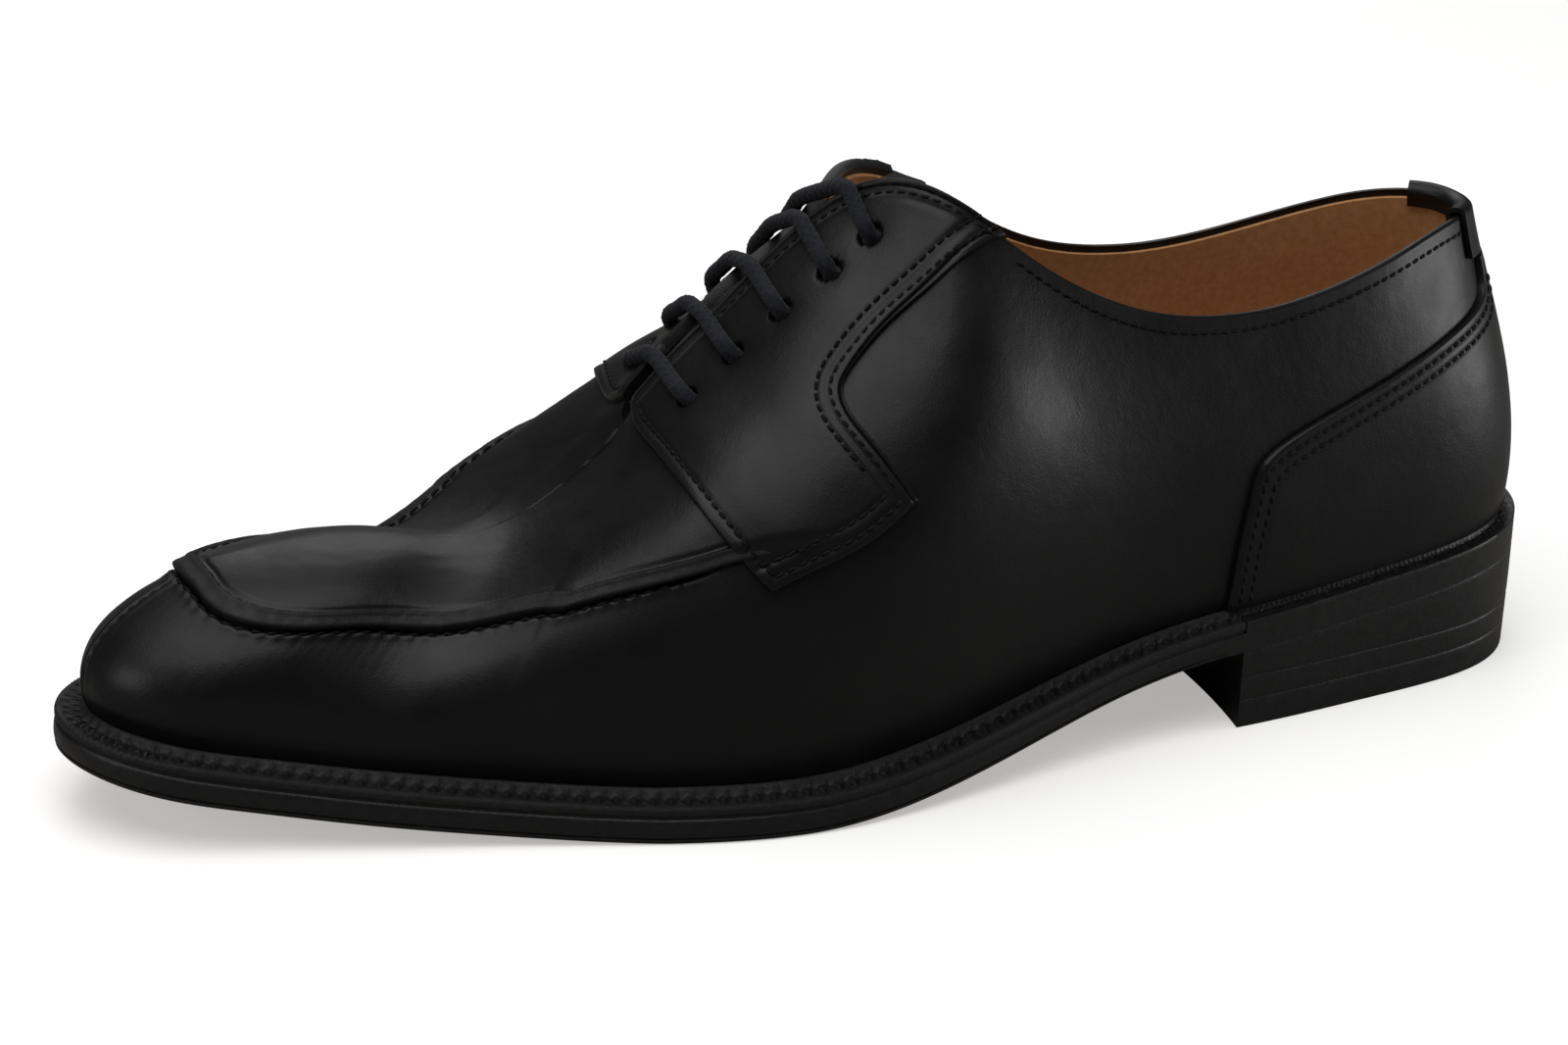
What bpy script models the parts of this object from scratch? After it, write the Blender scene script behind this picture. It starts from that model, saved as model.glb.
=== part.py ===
"""A left split toe derby dress shoe, built as its maker would put it together.

Metres, +Z up, toe towards -Y, outer side of the foot towards +X, the floor at Z = 0.
A place on the shoe is worked out in the shoe's own terms first: the distance along
from the back of the heel, the distance across (positive on the outer side) and the
height above the floor. Function world() turns these into X, Y and Z.
"""

import bmesh
import bpy
import numpy as np
from mathutils import Matrix, Vector

# The last, which is the foot form that all pieces are drawn around.
LAST_LENGTH = 0.2908
BALL_WIDTH = 0.092
BACK_HEIGHT = 0.0605
INSTEP_HEIGHT = 0.100

# The bottom.
WELT_LEDGE = 0.0060
OUTSOLE_THICK = 0.0048
WAIST_THINNING = 0.0010
WELT_THICK = 0.0022
WELT_CROWN = 0.0015
HEEL_BACK_RISE = 0.0223
HEEL_BREAST_RISE = 0.0159
HEEL_LENGTH = 0.077
HEEL_TAPER = 0.0003
BREAST_CURVE = 0.0030
TOP_PIECE_THICK = 0.0055
HEEL_LIFT_THICK = 0.0045
TREAD_START = 0.176
TREAD_END = 0.200
TOE_SPRING = 0.0130

# The insole, with the filler under it.
INSOLE_THICK = 0.0026
FILLER_STEP = 0.0005

# The upper.
UPPER_WALL = 0.0020
OVERLAY_THICK = 0.0013
RIM_WIDTH = 0.0030
RIM_RISE = 0.0010
LASTING_MARGIN = 0.0070
THROAT_GAP = 0.0036
THROAT_RIB = 10.1
TONGUE_THICK = 0.0018
TONGUE_REACH = 0.0090
COLLAR_TAB_THICK = 0.0010
COLLAR_TAB_DROP = 0.0085

# The lace and its holes.
LACE_RADIUS = 0.0015
HOLE_RADIUS = 0.0025
LACE_ROOM = 0.00085
SECOND_LANE = 0.0048

# Pieces that lie on each other keep this distance. Curved faceted ones need more.
FIT_GAP = 0.0003
OVERLAY_GAP = 0.0006
OVERLAY_RELIEF = 0.0001
INSOLE_ROOM = 0.0005

# Rows of the tables below run from the back of the heel (0) to the toe tip (last).
# A place between two rows is a rib number with a fraction, such as 3.5.
# Plan of the feather line, where the upper meets the sole. Along is a share of
# LAST_LENGTH, outer and inner are shares of BALL_WIDTH, ledges of WELT_LEDGE.
FEATHER_ROWS = (
    # along, outer, inner, ledge outer, ledge inner
    (0.000, 0.000, 0.000, 0.70, 0.70),
    (0.020, 0.165, 0.163, 0.68, 0.68),
    (0.070, 0.262, 0.262, 0.62, 0.62),
    (0.145, 0.310, 0.305, 0.60, 0.57),
    (0.235, 0.345, 0.300, 0.68, 0.57),
    (0.335, 0.370, 0.270, 0.80, 0.57),
    (0.435, 0.435, 0.255, 0.92, 0.67),
    (0.530, 0.495, 0.305, 1.00, 0.85),
    (0.615, 0.500, 0.390, 1.00, 0.95),
    (0.695, 0.435, 0.455, 1.00, 1.00),
    (0.770, 0.362, 0.460, 1.00, 1.00),
    (0.845, 0.297, 0.405, 1.00, 1.00),
    (0.915, 0.234, 0.305, 0.97, 0.97),
    (0.972, 0.165, 0.165, 0.95, 0.95),
    (1.000, 0.010, 0.010, 0.95, 0.95),
)

# The collar, the edges of the throat and, from the throat to the toe, the ridge of
# the vamp. Heights above the feather line are the sum of two shares.
TOPLINE_ROWS = (
    # along, outer, inner, of back height, of instep height outer, inner
    (0.0366, 0.000, 0.000, 1.000, 0.000, 0.000),
    (0.0487, 0.085, 0.085, 1.010, 0.000, 0.000),
    (0.0887, 0.168, 0.168, 1.015, 0.000, -0.010),
    (0.1506, 0.245, 0.235, 0.980, 0.000, -0.025),
    (0.2376, 0.295, 0.265, 0.955, 0.000, -0.030),
    (0.3267, 0.315, 0.275, 0.900, 0.100, 0.080),
    (0.4080, 0.293, 0.265, 0.500, 0.512, 0.506),
    (0.4684, 0.217, 0.205, 0.250, 0.825, 0.745),
    (0.5134, 0.060, 0.060, 0.000, 0.951, 0.868),
    (0.5781, 0.025, 0.010, 0.000, 0.786, 0.768),
    (0.6426, 0.015, 0.005, 0.000, 0.577, 0.577),
    (0.7272, -0.005, 0.010, 0.000, 0.374, 0.374),
    (0.7969, -0.010, 0.015, 0.000, 0.348, 0.348),
    (0.8616, -0.015, 0.020, 0.000, 0.326, 0.326),
    (0.9064, -0.020, 0.020, 0.000, 0.292, 0.292),
)

# The shape of each rib between those two lines. Lean is how far the wall leans out at
# the feather line and slope how steeply it leaves the topline, both in degrees. Foot
# and top are the reach of the curve's two handles, as shares of the rib's height.
RIB_ROWS = (
    # lean outer, inner, slope outer, inner, foot, top
    (9.0, 9.0, 76.0, 76.0, 0.36, 0.36),
    (9.0, 9.0, 76.0, 76.0, 0.36, 0.36),
    (9.0, 10.0, 78.0, 78.0, 0.36, 0.36),
    (9.0, 12.0, 80.0, 80.0, 0.36, 0.36),
    (11.0, 17.0, 80.0, 78.0, 0.38, 0.36),
    (14.0, 26.0, 74.0, 72.0, 0.40, 0.40),
    (16.0, 32.0, 62.0, 64.0, 0.42, 0.45),
    (15.0, 30.0, 50.0, 52.0, 0.45, 0.48),
    (14.0, 22.0, 36.0, 41.0, 0.45, 0.50),
    (14.0, 10.0, 24.0, 38.0, 0.50, 0.46),
    (16.0, 6.0, 15.0, 36.0, 0.58, 0.40),
    (15.0, 6.0, 8.0, 25.0, 0.64, 0.43),
    (15.0, 10.0, 3.0, 12.0, 0.70, 0.48),
    (21.0, 18.0, 0.0, 5.0, 0.60, 0.50),
    (26.0, 26.0, 0.0, 0.0, 0.555, 0.52),
)

# Edges of the overlays, as rib places and shares of the rib's height. The inner side
# has the same edges, mirrored.
FACING_FRONT_ROWS = (
    # place, share
    (8.210, 0.348),
    (8.415, 0.398),
    (8.765, 0.498),
    (9.335, 0.670),
    (9.790, 0.835),
    (9.960, 0.940),
    (9.980, 1.000),
)
FACING_BACK_ROWS = (
    # place, share
    (7.325, 0.485),
    (7.715, 0.583),
    (7.955, 0.648),
    (8.040, 0.692),
    (7.985, 0.728),
    (7.730, 0.785),
    (7.260, 0.850),
    (6.700, 0.935),
    (6.245, 1.000),
)
FACING_FOOT_ROWS = (
    # place, share
    (8.210, 0.348),
    (7.940, 0.378),
    (7.600, 0.418),
    (7.325, 0.485),
)
APRON_ROWS = (
    # place, share of the apron seam, share where the apron ends below the throat
    (8.60, 0.419, 0.438),
    (9.10, 0.415, 0.580),
    (9.85, 0.420, 0.835),
    (10.10, 0.432, 1.000),
    (11.28, 0.500, 1.000),
    (12.07, 0.474, 1.000),
    (12.80, 0.520, 1.000),
    (13.32, 0.655, 1.000),
    (13.65, 0.800, 1.000),
    (14.00, 0.860, 1.000),
)
COUNTER_ROWS = (
    # share, place of the seam
    (0.000, 4.25),
    (0.210, 4.23),
    (0.360, 4.17),
    (0.500, 4.06),
    (0.580, 3.68),
    (0.635, 3.03),
    (0.665, 2.30),
    (0.700, 1.50),
    (0.760, 1.05),
    (1.000, 0.85),
)
TONGUE_ROWS = (
    # share from the side to the throat, depth below the last
    (0.740, 0.0066),
    (0.820, 0.0066),
    (0.900, 0.0066),
    (1.000, 0.0048),
)
TONGUE_TOP_PLACE = 7.72
TONGUE_FRONT_PLACE = 10.70
TONGUE_SEAT_DEPTH = 0.0028
EYELET_ROWS = (
    # place, share
    (9.380, 0.852),
    (8.960, 0.870),
    (8.545, 0.880),
    (8.150, 0.895),
    (7.780, 0.925),
)
TAB_PLACE = 1.25
TOE = len(FEATHER_ROWS) - 1
AROUND = 2 * TOE


def around(outer, inner):
    """Column values round the whole shoe: heel, outer side, toe, inner side."""
    return [*outer, *inner[-2:0:-1]]


def closed_spline(rows):
    """A reader of the smooth closed curve through the rows, one step apart."""
    rows = np.asarray(rows, float)
    one = np.eye(len(rows))
    matrix = 4 * one + np.roll(one, 1, axis=0) + np.roll(one, -1, axis=0)
    change = np.roll(rows, -1, axis=0) - 2 * rows + np.roll(rows, 1, axis=0)
    bend = np.linalg.solve(matrix, 6 * change)

    def read(place):
        place = np.asarray(place, float) % len(rows)
        first = np.floor(place).astype(int) % len(rows)
        second = (first + 1) % len(rows)
        part = (place - np.floor(place))[..., None]
        rest = 1 - part
        return (
            rest * rows[first]
            + part * rows[second]
            + (rest**3 - rest) * bend[first] / 6
            + (part**3 - part) * bend[second] / 6
        )

    return read


def read_feather():
    """Along, across and ledge of the feather line, in metres, round the shoe."""
    along, outer, inner, ledge_out, ledge_in = np.array(FEATHER_ROWS).T
    heel_ledge = ledge_out[0] * WELT_LEDGE
    columns = (
        heel_ledge + LAST_LENGTH * np.array(around(along, along)),
        BALL_WIDTH * np.array(around(outer, -inner)),
        WELT_LEDGE * np.array(around(ledge_out, ledge_in)),
    )
    columns[1][TOE] = BALL_WIDTH * outer[TOE]
    return closed_spline(np.transpose(columns))


def read_topline():
    along, outer, inner, back, instep_out, instep_in = np.array(TOPLINE_ROWS).T
    heel_ledge = FEATHER_ROWS[0][3] * WELT_LEDGE
    columns = (
        heel_ledge + LAST_LENGTH * np.array(around(along, along)),
        BALL_WIDTH * np.array(around(outer, -inner)),
        BACK_HEIGHT * np.array(around(back, back))
        + INSTEP_HEIGHT * np.array(around(instep_out, instep_in)),
    )
    return closed_spline(np.transpose(columns))


def read_ribs():
    lean_out, lean_in, slope_out, slope_in, foot, top = np.array(RIB_ROWS).T
    columns = (
        np.radians(around(lean_out, lean_in)),
        np.radians(around(slope_out, slope_in)),
        around(foot, foot),
        around(top, top),
    )
    return closed_spline(np.transpose(columns))


FEATHER = read_feather()
TOPLINE = read_topline()
RIBS = read_ribs()


def smooth_step(value):
    value = np.clip(value, 0, 1)
    return value * value * (3 - 2 * value)


def feather_normal(place):
    """The outward direction of the feather line, as (along, across)."""
    step = 0.01
    run = FEATHER(place + step)[..., :2] - FEATHER(place - step)[..., :2]
    run /= np.linalg.norm(run, axis=-1, keepdims=True)
    return np.stack((-run[..., 1], run[..., 0]), axis=-1)


def plan_point(place, out):
    """(along, across) of a point this far outside the feather line."""
    return FEATHER(place)[..., :2] + feather_normal(place) * np.asarray(out)[..., None]


def sole_edge(place):
    """(along, across) of the outer edge of welt and outsole."""
    return plan_point(place, FEATHER(place)[..., 2])


def sole_rise(along):
    """Height of the outsole's underside: seat, waist, flat tread and toe spring."""
    along = np.asarray(along, float)
    seat_fall = (HEEL_BACK_RISE - HEEL_BREAST_RISE) / HEEL_LENGTH
    seat = HEEL_BACK_RISE - seat_fall * along
    length = TREAD_START - HEEL_LENGTH
    part = np.clip((along - HEEL_LENGTH) / length, 0, 1)
    waist = HEEL_BREAST_RISE * (1 + 2 * part) * (1 - part) ** 2
    waist -= seat_fall * length * part * (1 - part) ** 2
    toe_along = FEATHER(float(TOE))[0] + WELT_LEDGE
    part = np.clip((along - TREAD_END) / (toe_along - TREAD_END), 0, None)
    toe = TOE_SPRING * part**1.5
    return np.where(along < HEEL_LENGTH, seat, waist) + toe


def sole_top(along):
    """Height of the outsole's upper side. Waist and seat are thinner than the tread."""
    forward = smooth_step((along - HEEL_LENGTH) / (TREAD_START - HEEL_LENGTH))
    return sole_rise(along) + OUTSOLE_THICK - WAIST_THINNING * (1 - forward)


def feather_height(along):
    """Height of the welt's crown, on which the upper stands."""
    return sole_top(along) + FIT_GAP + WELT_THICK + WELT_CROWN + FIT_GAP


def mirrored(place):
    return AROUND - np.asarray(place, float)


def topline_point(place):
    """(along, across, height) of the collar, throat edge or vamp ridge."""
    place = np.asarray(place, float)
    rib = np.minimum(place % AROUND, mirrored(place % AROUND))
    side = np.where(place % AROUND <= TOE, 1.0, -1.0)
    own, other = TOPLINE(place), TOPLINE(mirrored(place))
    shared = smooth_step((rib - 8.0) / 2.0)[..., None]
    point = own * (1 - shared) + (own + other) / 2 * shared
    throat_front = TOPLINE(THROAT_RIB)[0]
    behind = np.clip((throat_front - point[..., 0]) / THROAT_GAP, 0, 1)
    gap = THROAT_GAP / 2 * np.sqrt(1 - (1 - behind) ** 2)
    point[..., 1] += side * gap * smooth_step((rib - 7.0) / 1.5)
    point[..., 2] += feather_height(point[..., 0])
    return point


def rib_point(place, share):
    """(along, across, height) on the last, share 0 at the feather, 1 at the topline."""
    place, share = np.broadcast_arrays(np.asarray(place, float), share)
    foot = FEATHER(place)
    foot_point = np.stack((foot[..., 0], foot[..., 1], feather_height(foot[..., 0])), -1)
    top_point = topline_point(place)
    lean, slope, foot_reach, top_reach = np.moveaxis(RIBS(place), -1, 0)
    rise = top_point[..., 2] - foot_point[..., 2]
    spread = np.linalg.norm(top_point[..., :2] - foot_point[..., :2], axis=-1)
    normal = feather_normal(place)
    foot_way = np.stack(
        (
            normal[..., 0] * np.sin(lean),
            normal[..., 1] * np.sin(lean),
            np.cos(lean),
        ),
        -1,
    )
    ridge_fall = ridge_slope(place)
    top_way = np.stack(
        (
            normal[..., 0] * np.cos(slope),
            normal[..., 1] * np.cos(slope),
            normal[..., 0] * np.cos(slope) * ridge_fall - np.sin(slope),
        ),
        -1,
    )
    reach = np.hypot(rise, 0.5 * spread)
    foot_handle = foot_point + foot_way * (foot_reach * rise)[..., None]
    top_handle = top_point + top_way * (top_reach * reach)[..., None]
    part = share[..., None]
    rest = 1 - part
    return (
        rest**3 * foot_point
        + 3 * rest**2 * part * foot_handle
        + 3 * rest * part**2 * top_handle
        + part**3 * top_point
    )


def ridge_slope(place):
    """How the ridge falls towards the toe, which its cross ribs follow there."""
    place = np.asarray(place, float) % AROUND
    rib = np.minimum(place, AROUND - place)
    rib = np.clip(rib, 9.0, TOE - 0.25)
    step = 0.2
    run = topline_point(rib + step) - topline_point(rib - step)
    on_ridge = smooth_step((np.minimum(place, AROUND - place) - 8.0) / 2.0)
    return run[..., 2] / run[..., 0] * on_ridge


def surface_normal(place, share):
    """Outward unit normal of the last, as (along, across, height)."""
    share = np.clip(share, 0.002, 0.985)
    step = 0.004
    by_place = rib_point(place + step, share) - rib_point(place - step, share)
    by_share = rib_point(place, share + step / 2) - rib_point(place, share - step / 2)
    normal = np.cross(by_share, by_place)
    return normal / np.linalg.norm(normal, axis=-1, keepdims=True)


def lifted(place, share, lift):
    """A point this far above the last's surface, in the shoe's own terms."""
    place, share, lift = np.broadcast_arrays(np.asarray(place, float), share, lift)
    normal = surface_normal(place, share)
    rib = np.minimum(place % AROUND, AROUND - place % AROUND)
    on_ridge = ((share > 0.999) & (rib > THROAT_RIB - 0.5))[..., None]
    both = normal + surface_normal(mirrored(place), share)
    both /= np.linalg.norm(both, axis=-1, keepdims=True)
    normal = np.where(on_ridge, both, normal)
    return rib_point(place, share) + normal * lift[..., None]


def open_spline(rows):
    """A reader of the smooth curve through the rows, which takes 0 to 1."""
    rows = np.asarray(rows, float)
    count = len(rows)
    matrix = np.eye(count)
    change = np.zeros_like(rows)
    for row in range(1, count - 1):
        matrix[row, row - 1 : row + 2] = 1, 4, 1
        change[row] = 6 * (rows[row - 1] - 2 * rows[row] + rows[row + 1])
    bend = np.linalg.solve(matrix, change)

    def read(share):
        place = np.asarray(share, float) * (count - 1)
        first = np.clip(np.floor(place).astype(int), 0, count - 2)
        part = (place - first)[..., None]
        rest = 1 - part
        return (
            rest * rows[first]
            + part * rows[first + 1]
            + (rest**3 - rest) * bend[first] / 6
            + (part**3 - part) * bend[first + 1] / 6
        )

    return read


def column_reader(rows):
    """Reads the second and later columns of a table by its first, with straight runs."""
    rows = np.array(rows)

    def read(value):
        return [np.interp(value, rows[:, 0], column) for column in rows[:, 1:].T]

    return read


# The plan box of the outsole, which centres the shoe on the origin.
OUTLINE = sole_edge(np.linspace(0, AROUND, 2000))
MIDDLE = (OUTLINE.min(axis=0) + OUTLINE.max(axis=0)) / 2


def world(points):
    """X, Y and Z of points given as along, across and height."""
    points = np.asarray(points, float)
    return np.stack(
        (points[..., 1] - MIDDLE[1], MIDDLE[0] - points[..., 0], points[..., 2]), -1
    )


def world_way(ways):
    """Directions given as along, across and height, turned into X, Y and Z."""
    ways = np.asarray(ways, float)
    return np.stack((ways[..., 1], -ways[..., 0], ways[..., 2]), -1)


def with_height(plan, height):
    return np.concatenate((plan, np.broadcast_to(height, plan.shape[:-1])[..., None]), -1)


def breast_place(side):
    """The rib place at which the heel's breast meets the sole edge of one side."""
    ribs = np.linspace(2, 7, 500)
    along = sole_edge(ribs if side > 0 else mirrored(ribs))[:, 0]
    return float(np.interp(HEEL_LENGTH, along, ribs))


def add_material(name, colour, roughness):
    material = bpy.data.materials.new(name)
    material.use_nodes = True
    shader = material.node_tree.nodes["Principled BSDF"]
    shader.inputs["Base Color"].default_value = (*colour, 1)
    shader.inputs["Roughness"].default_value = roughness
    shader.inputs["Metallic"].default_value = 0.0
    return material


def add_object(name, data, collection, parent, finish):
    piece = bpy.data.objects.new(name, data)
    piece.parent = parent
    collection.objects.link(piece)
    data.materials.append(add_material(name, *finish))
    return piece


def grid_faces(index, closed=False):
    """Quads between neighbours of a grid of vertex numbers; welded ones make triangles."""
    faces = []
    rows = len(index)
    for row in range(rows if closed else rows - 1):
        after = (row + 1) % rows
        for column in range(index.shape[1] - 1):
            corners = (
                index[row, column],
                index[after, column],
                index[after, column + 1],
                index[row, column + 1],
            )
            face = list(dict.fromkeys(int(corner) for corner in corners))
            if len(face) > 2:
                faces.append(face)
    return faces


def shell_mesh(name, high, low, faces):
    """A closed body between two sheets of points that share the same faces."""
    high = world(high).reshape(-1, 3)
    low = world(low).reshape(-1, 3)
    body = bmesh.new()
    used = sorted({corner for face in faces for corner in face})
    top = {corner: body.verts.new(high[corner]) for corner in used}
    base = {corner: body.verts.new(low[corner]) for corner in used}
    edges = set()
    for face in faces:
        body.faces.new([top[corner] for corner in face])
        body.faces.new([base[corner] for corner in reversed(face)])
        edges.update(zip(face, face[1:] + face[:1]))
    for start, end in sorted(edges):
        if (end, start) not in edges:
            body.faces.new((top[end], top[start], base[start], base[end]))
    bmesh.ops.recalc_face_normals(body, faces=body.faces)
    mesh = bpy.data.meshes.new(name)
    body.to_mesh(mesh)
    body.free()
    mesh.shade_smooth()
    mesh.set_sharp_from_angle(angle=0.6)
    return mesh


def weld_ridge(index, places, column, start):
    """Makes both sides share one vertex on the ridge, from this rib to the toe."""
    for row, place in enumerate(places):
        if TOE < place < AROUND - start:
            twin = int(np.argmin(np.abs(places - mirrored(place))))
            index[row, column] = index[twin, column]


def both_sides(ribs):
    """Places from one side's ribs over the toe and back along the other side."""
    return np.concatenate((ribs, mirrored(ribs[::-1][1:])))


def plate_mesh(name, outer, inner, height_top, height_base, columns=2, bow=0.0):
    """A plate between paired points of both sides. Its last row bows by this much."""
    share = np.linspace(0, 1, columns)[None, :, None]
    plan = outer[:, None] * (1 - share) + inner[:, None] * share
    row = np.linspace(0, 1, len(outer))[:, None]
    plan[..., 0] -= bow * 4 * share[..., 0] * (1 - share[..., 0]) * row**4
    index = np.arange(plan[..., 0].size).reshape(plan.shape[:2])
    for end in (0, -1):
        if np.allclose(outer[end], inner[end], atol=1e-6):
            index[end] = index[end, 0]
    high = with_height(plan, height_top(plan[..., 0]))
    low = with_height(plan, height_base(plan[..., 0]))
    return shell_mesh(name, high, low, grid_faces(index))


def outsole_mesh():
    ribs = np.linspace(0, TOE, 61)
    outer = sole_edge(ribs)
    inner = sole_edge(mirrored(ribs))
    return plate_mesh("outsole", outer, inner, sole_top, sole_rise)


def heel_outline(side, height):
    """The heel's edge on one side, which draws in towards the floor."""
    ribs = np.linspace(0, breast_place(side), 10)
    places = ribs if side > 0 else mirrored(ribs)
    draw_in = HEEL_TAPER * (1 - height / HEEL_BREAST_RISE)
    return plan_point(places, FEATHER(places)[..., 2] - draw_in)


def heel_layer_mesh(name, base, top):
    """A lift of the heel. A missing top means the underside of the outsole."""
    height = base if top is None else (base + top) / 2
    outer = heel_outline(1, height)
    inner = heel_outline(-1, height)

    def height_top(along):
        return sole_rise(along) - FIT_GAP if top is None else np.full_like(along, top)

    def height_base(along):
        return np.full_like(along, base)

    return plate_mesh(name, outer, inner, height_top, height_base, 5, BREAST_CURVE)


def strip_mesh(name, places):
    """A welted strip under the upper's edge: its rim, its crown and its inner part."""
    ledge = FEATHER(places)[:, 2]
    outs = np.stack((ledge, np.full_like(ledge, 0.0008), np.full_like(ledge, 0.0)), -1)
    outs[:, 2] = -LASTING_MARGIN
    plan = plan_point(places[:, None], outs)
    base = sole_top(plan[..., 0]) + FIT_GAP
    rise = WELT_THICK + WELT_CROWN * np.array((0, 1, 1))
    index = np.arange(base.size).reshape(base.shape)
    faces = grid_faces(index)
    return shell_mesh(name, with_height(plan, base + rise), with_height(plan, base), faces)


def welt_mesh():
    start = breast_place(1)
    end = AROUND - breast_place(-1)
    return strip_mesh("welt", np.linspace(start, end, 63))


def heel_rand_mesh():
    # The strips' ends keep the fitting distance, measured along the sole edge.
    step = FIT_GAP / np.linalg.norm(sole_edge(4.5) - sole_edge(3.5))
    start = step - breast_place(-1)
    end = breast_place(1) - step
    return strip_mesh("heel_rand", np.linspace(start, end, 31))


def shell_places():
    """Rib places of the upper's facets all round, closest together at heel and toe."""
    heel = np.linspace(0, 3, 9, endpoint=False)
    quarter = np.linspace(3, 7, 6, endpoint=False)
    vamp = np.linspace(7, TOE, 22)
    return both_sides(np.concatenate((heel, quarter, vamp)))[:-1]


# Shares of the rib's height at which the upper's facets meet.
SHELL_SHARES = (0, 0.10, 0.22, 0.34, 0.45, 0.55, 0.66, 0.77, 0.88, 1.0)


def insole_mesh():
    """The insole on the lasting margin, with the filler down to the outsole."""
    places = shell_places()
    edge = -(UPPER_WALL + INSOLE_ROOM)
    step = -(LASTING_MARGIN + FIT_GAP)
    outs = np.array((edge, step, step - FILLER_STEP))
    plan = plan_point(places[:, None], outs[None, :])
    plan[0, :, 1] = 0.0
    seat = feather_height(plan[..., 0]) + UPPER_WALL + FIT_GAP
    low = seat.copy()
    low[:, 2] = sole_top(plan[:, 2, 0]) + FIT_GAP
    index = np.arange(seat.size).reshape(seat.shape)
    half = len(places) // 2
    ladder = np.stack((index[: half + 1, 2], index[-np.arange(half + 1), 2]), -1)
    faces = grid_faces(index, closed=True) + grid_faces(ladder)
    high = with_height(plan, seat + INSOLE_THICK)
    return shell_mesh("insole", high, with_height(plan, low), faces)


def upper_mesh():
    """One hollow shell: walls, collar, throat and the lasting margin turned inward."""
    places = shell_places()
    wall = lifted(places[:, None], SHELL_SHARES, 0.0)
    lining = lifted(places[:, None], SHELL_SHARES, -UPPER_WALL)
    lining[:, 0, 2] = feather_height(lining[:, 0, 0]) + UPPER_WALL
    plan = plan_point(places, np.full(len(places), -LASTING_MARGIN))
    margin = with_height(plan, feather_height(plan[:, 0]))[:, None]
    raised = margin + np.array((0, 0, UPPER_WALL))
    high = np.concatenate((margin, wall), axis=1)
    low = np.concatenate((raised, lining), axis=1)
    index = np.arange(high[..., 0].size).reshape(high.shape[:2])
    weld_ridge(index, places, -1, THROAT_RIB)
    return shell_mesh("upper", high, low, grid_faces(index, closed=True))


def overlay_mesh(name, places, shares, lifts, weld_from=None):
    """A piece laid on the upper's own surface, as thick as its lifts say."""
    relief = np.full(places.shape, OVERLAY_RELIEF)
    relief[0] = relief[-1] = relief[:, 0] = 0
    if weld_from is None:
        relief[:, -1] = 0
    low = lifted(places, shares, OVERLAY_GAP + relief)
    high = lifted(places, shares, OVERLAY_GAP + lifts)
    index = np.arange(places.size).reshape(places.shape)
    if weld_from is not None:
        weld_ridge(index, places[:, -1], -1, weld_from)
    return shell_mesh(name, high, low, grid_faces(index))


def rib_length(places):
    points = rib_point(np.asarray(places)[:, None], np.linspace(0, 1, 20)[None, :])
    return np.linalg.norm(np.diff(points, axis=1), axis=-1).sum(axis=1)


def apron_mesh():
    """The apron panel: a raised rim along its seam, then the field up to the ridge."""
    places = shell_places()
    start = APRON_ROWS[0][0]
    places = places[(places > start) & (places < AROUND - start)]
    rib = np.minimum(places, mirrored(places))
    seam, end = column_reader(APRON_ROWS)(rib)
    end = end - 2 * FIT_GAP / rib_length(places) * (rib < THROAT_RIB)
    rim = seam + np.minimum(RIM_WIDTH / rib_length(places), (end - seam) / 2)
    # The field's facets meet where the upper's do, or closer together at the toe.
    upward = np.array([share for share in SHELL_SHARES if share > 0.5])
    even = (np.arange(len(upward)) + 1) / len(upward)
    spread = rim[:, None] + (end - rim)[:, None] * even
    matched = (rim < upward[0] - 0.04) & (end == 1)
    field = np.where(matched[:, None], upward, spread)
    edge = np.stack((seam, 0.25 * seam + 0.75 * rim, rim), -1)
    shares = np.concatenate((edge, field), axis=1)
    lifts = np.full(shares.shape, OVERLAY_THICK)
    lifts[:, :2] += RIM_RISE
    grid = np.broadcast_to(places[:, None], shares.shape)
    return overlay_mesh("apron", grid, shares, lifts, THROAT_RIB - 0.01)


def facing_grid():
    """Places and shares over a lace facing, blended from its four edges."""
    across = np.linspace(0, 1, 11)
    upward = np.linspace(0, 1, 10)
    front = open_spline(FACING_FRONT_ROWS)(upward)
    back = open_spline(FACING_BACK_ROWS)(upward)
    foot = open_spline(FACING_FOOT_ROWS)(across)
    top = open_spline((FACING_FRONT_ROWS[-1], FACING_BACK_ROWS[-1]))(across)
    u = upward[:, None, None]
    v = across[None, :, None]
    sides = front[:, None] * (1 - v) + back[:, None] * v
    ends = foot[None, :] * (1 - u) + top[None, :] * u
    corners = (
        foot[0] * (1 - u) * (1 - v)
        + foot[-1] * (1 - u) * v
        + top[0] * u * (1 - v)
        + top[-1] * u * v
    )
    grid = sides + ends - corners
    return grid[..., 0], np.clip(grid[..., 1], 0, 1)


def facing_mesh(name, side):
    places, shares = facing_grid()
    if side < 0:
        places = mirrored(places)
    return overlay_mesh(name, places, shares, np.full(shares.shape, OVERLAY_THICK))


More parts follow.
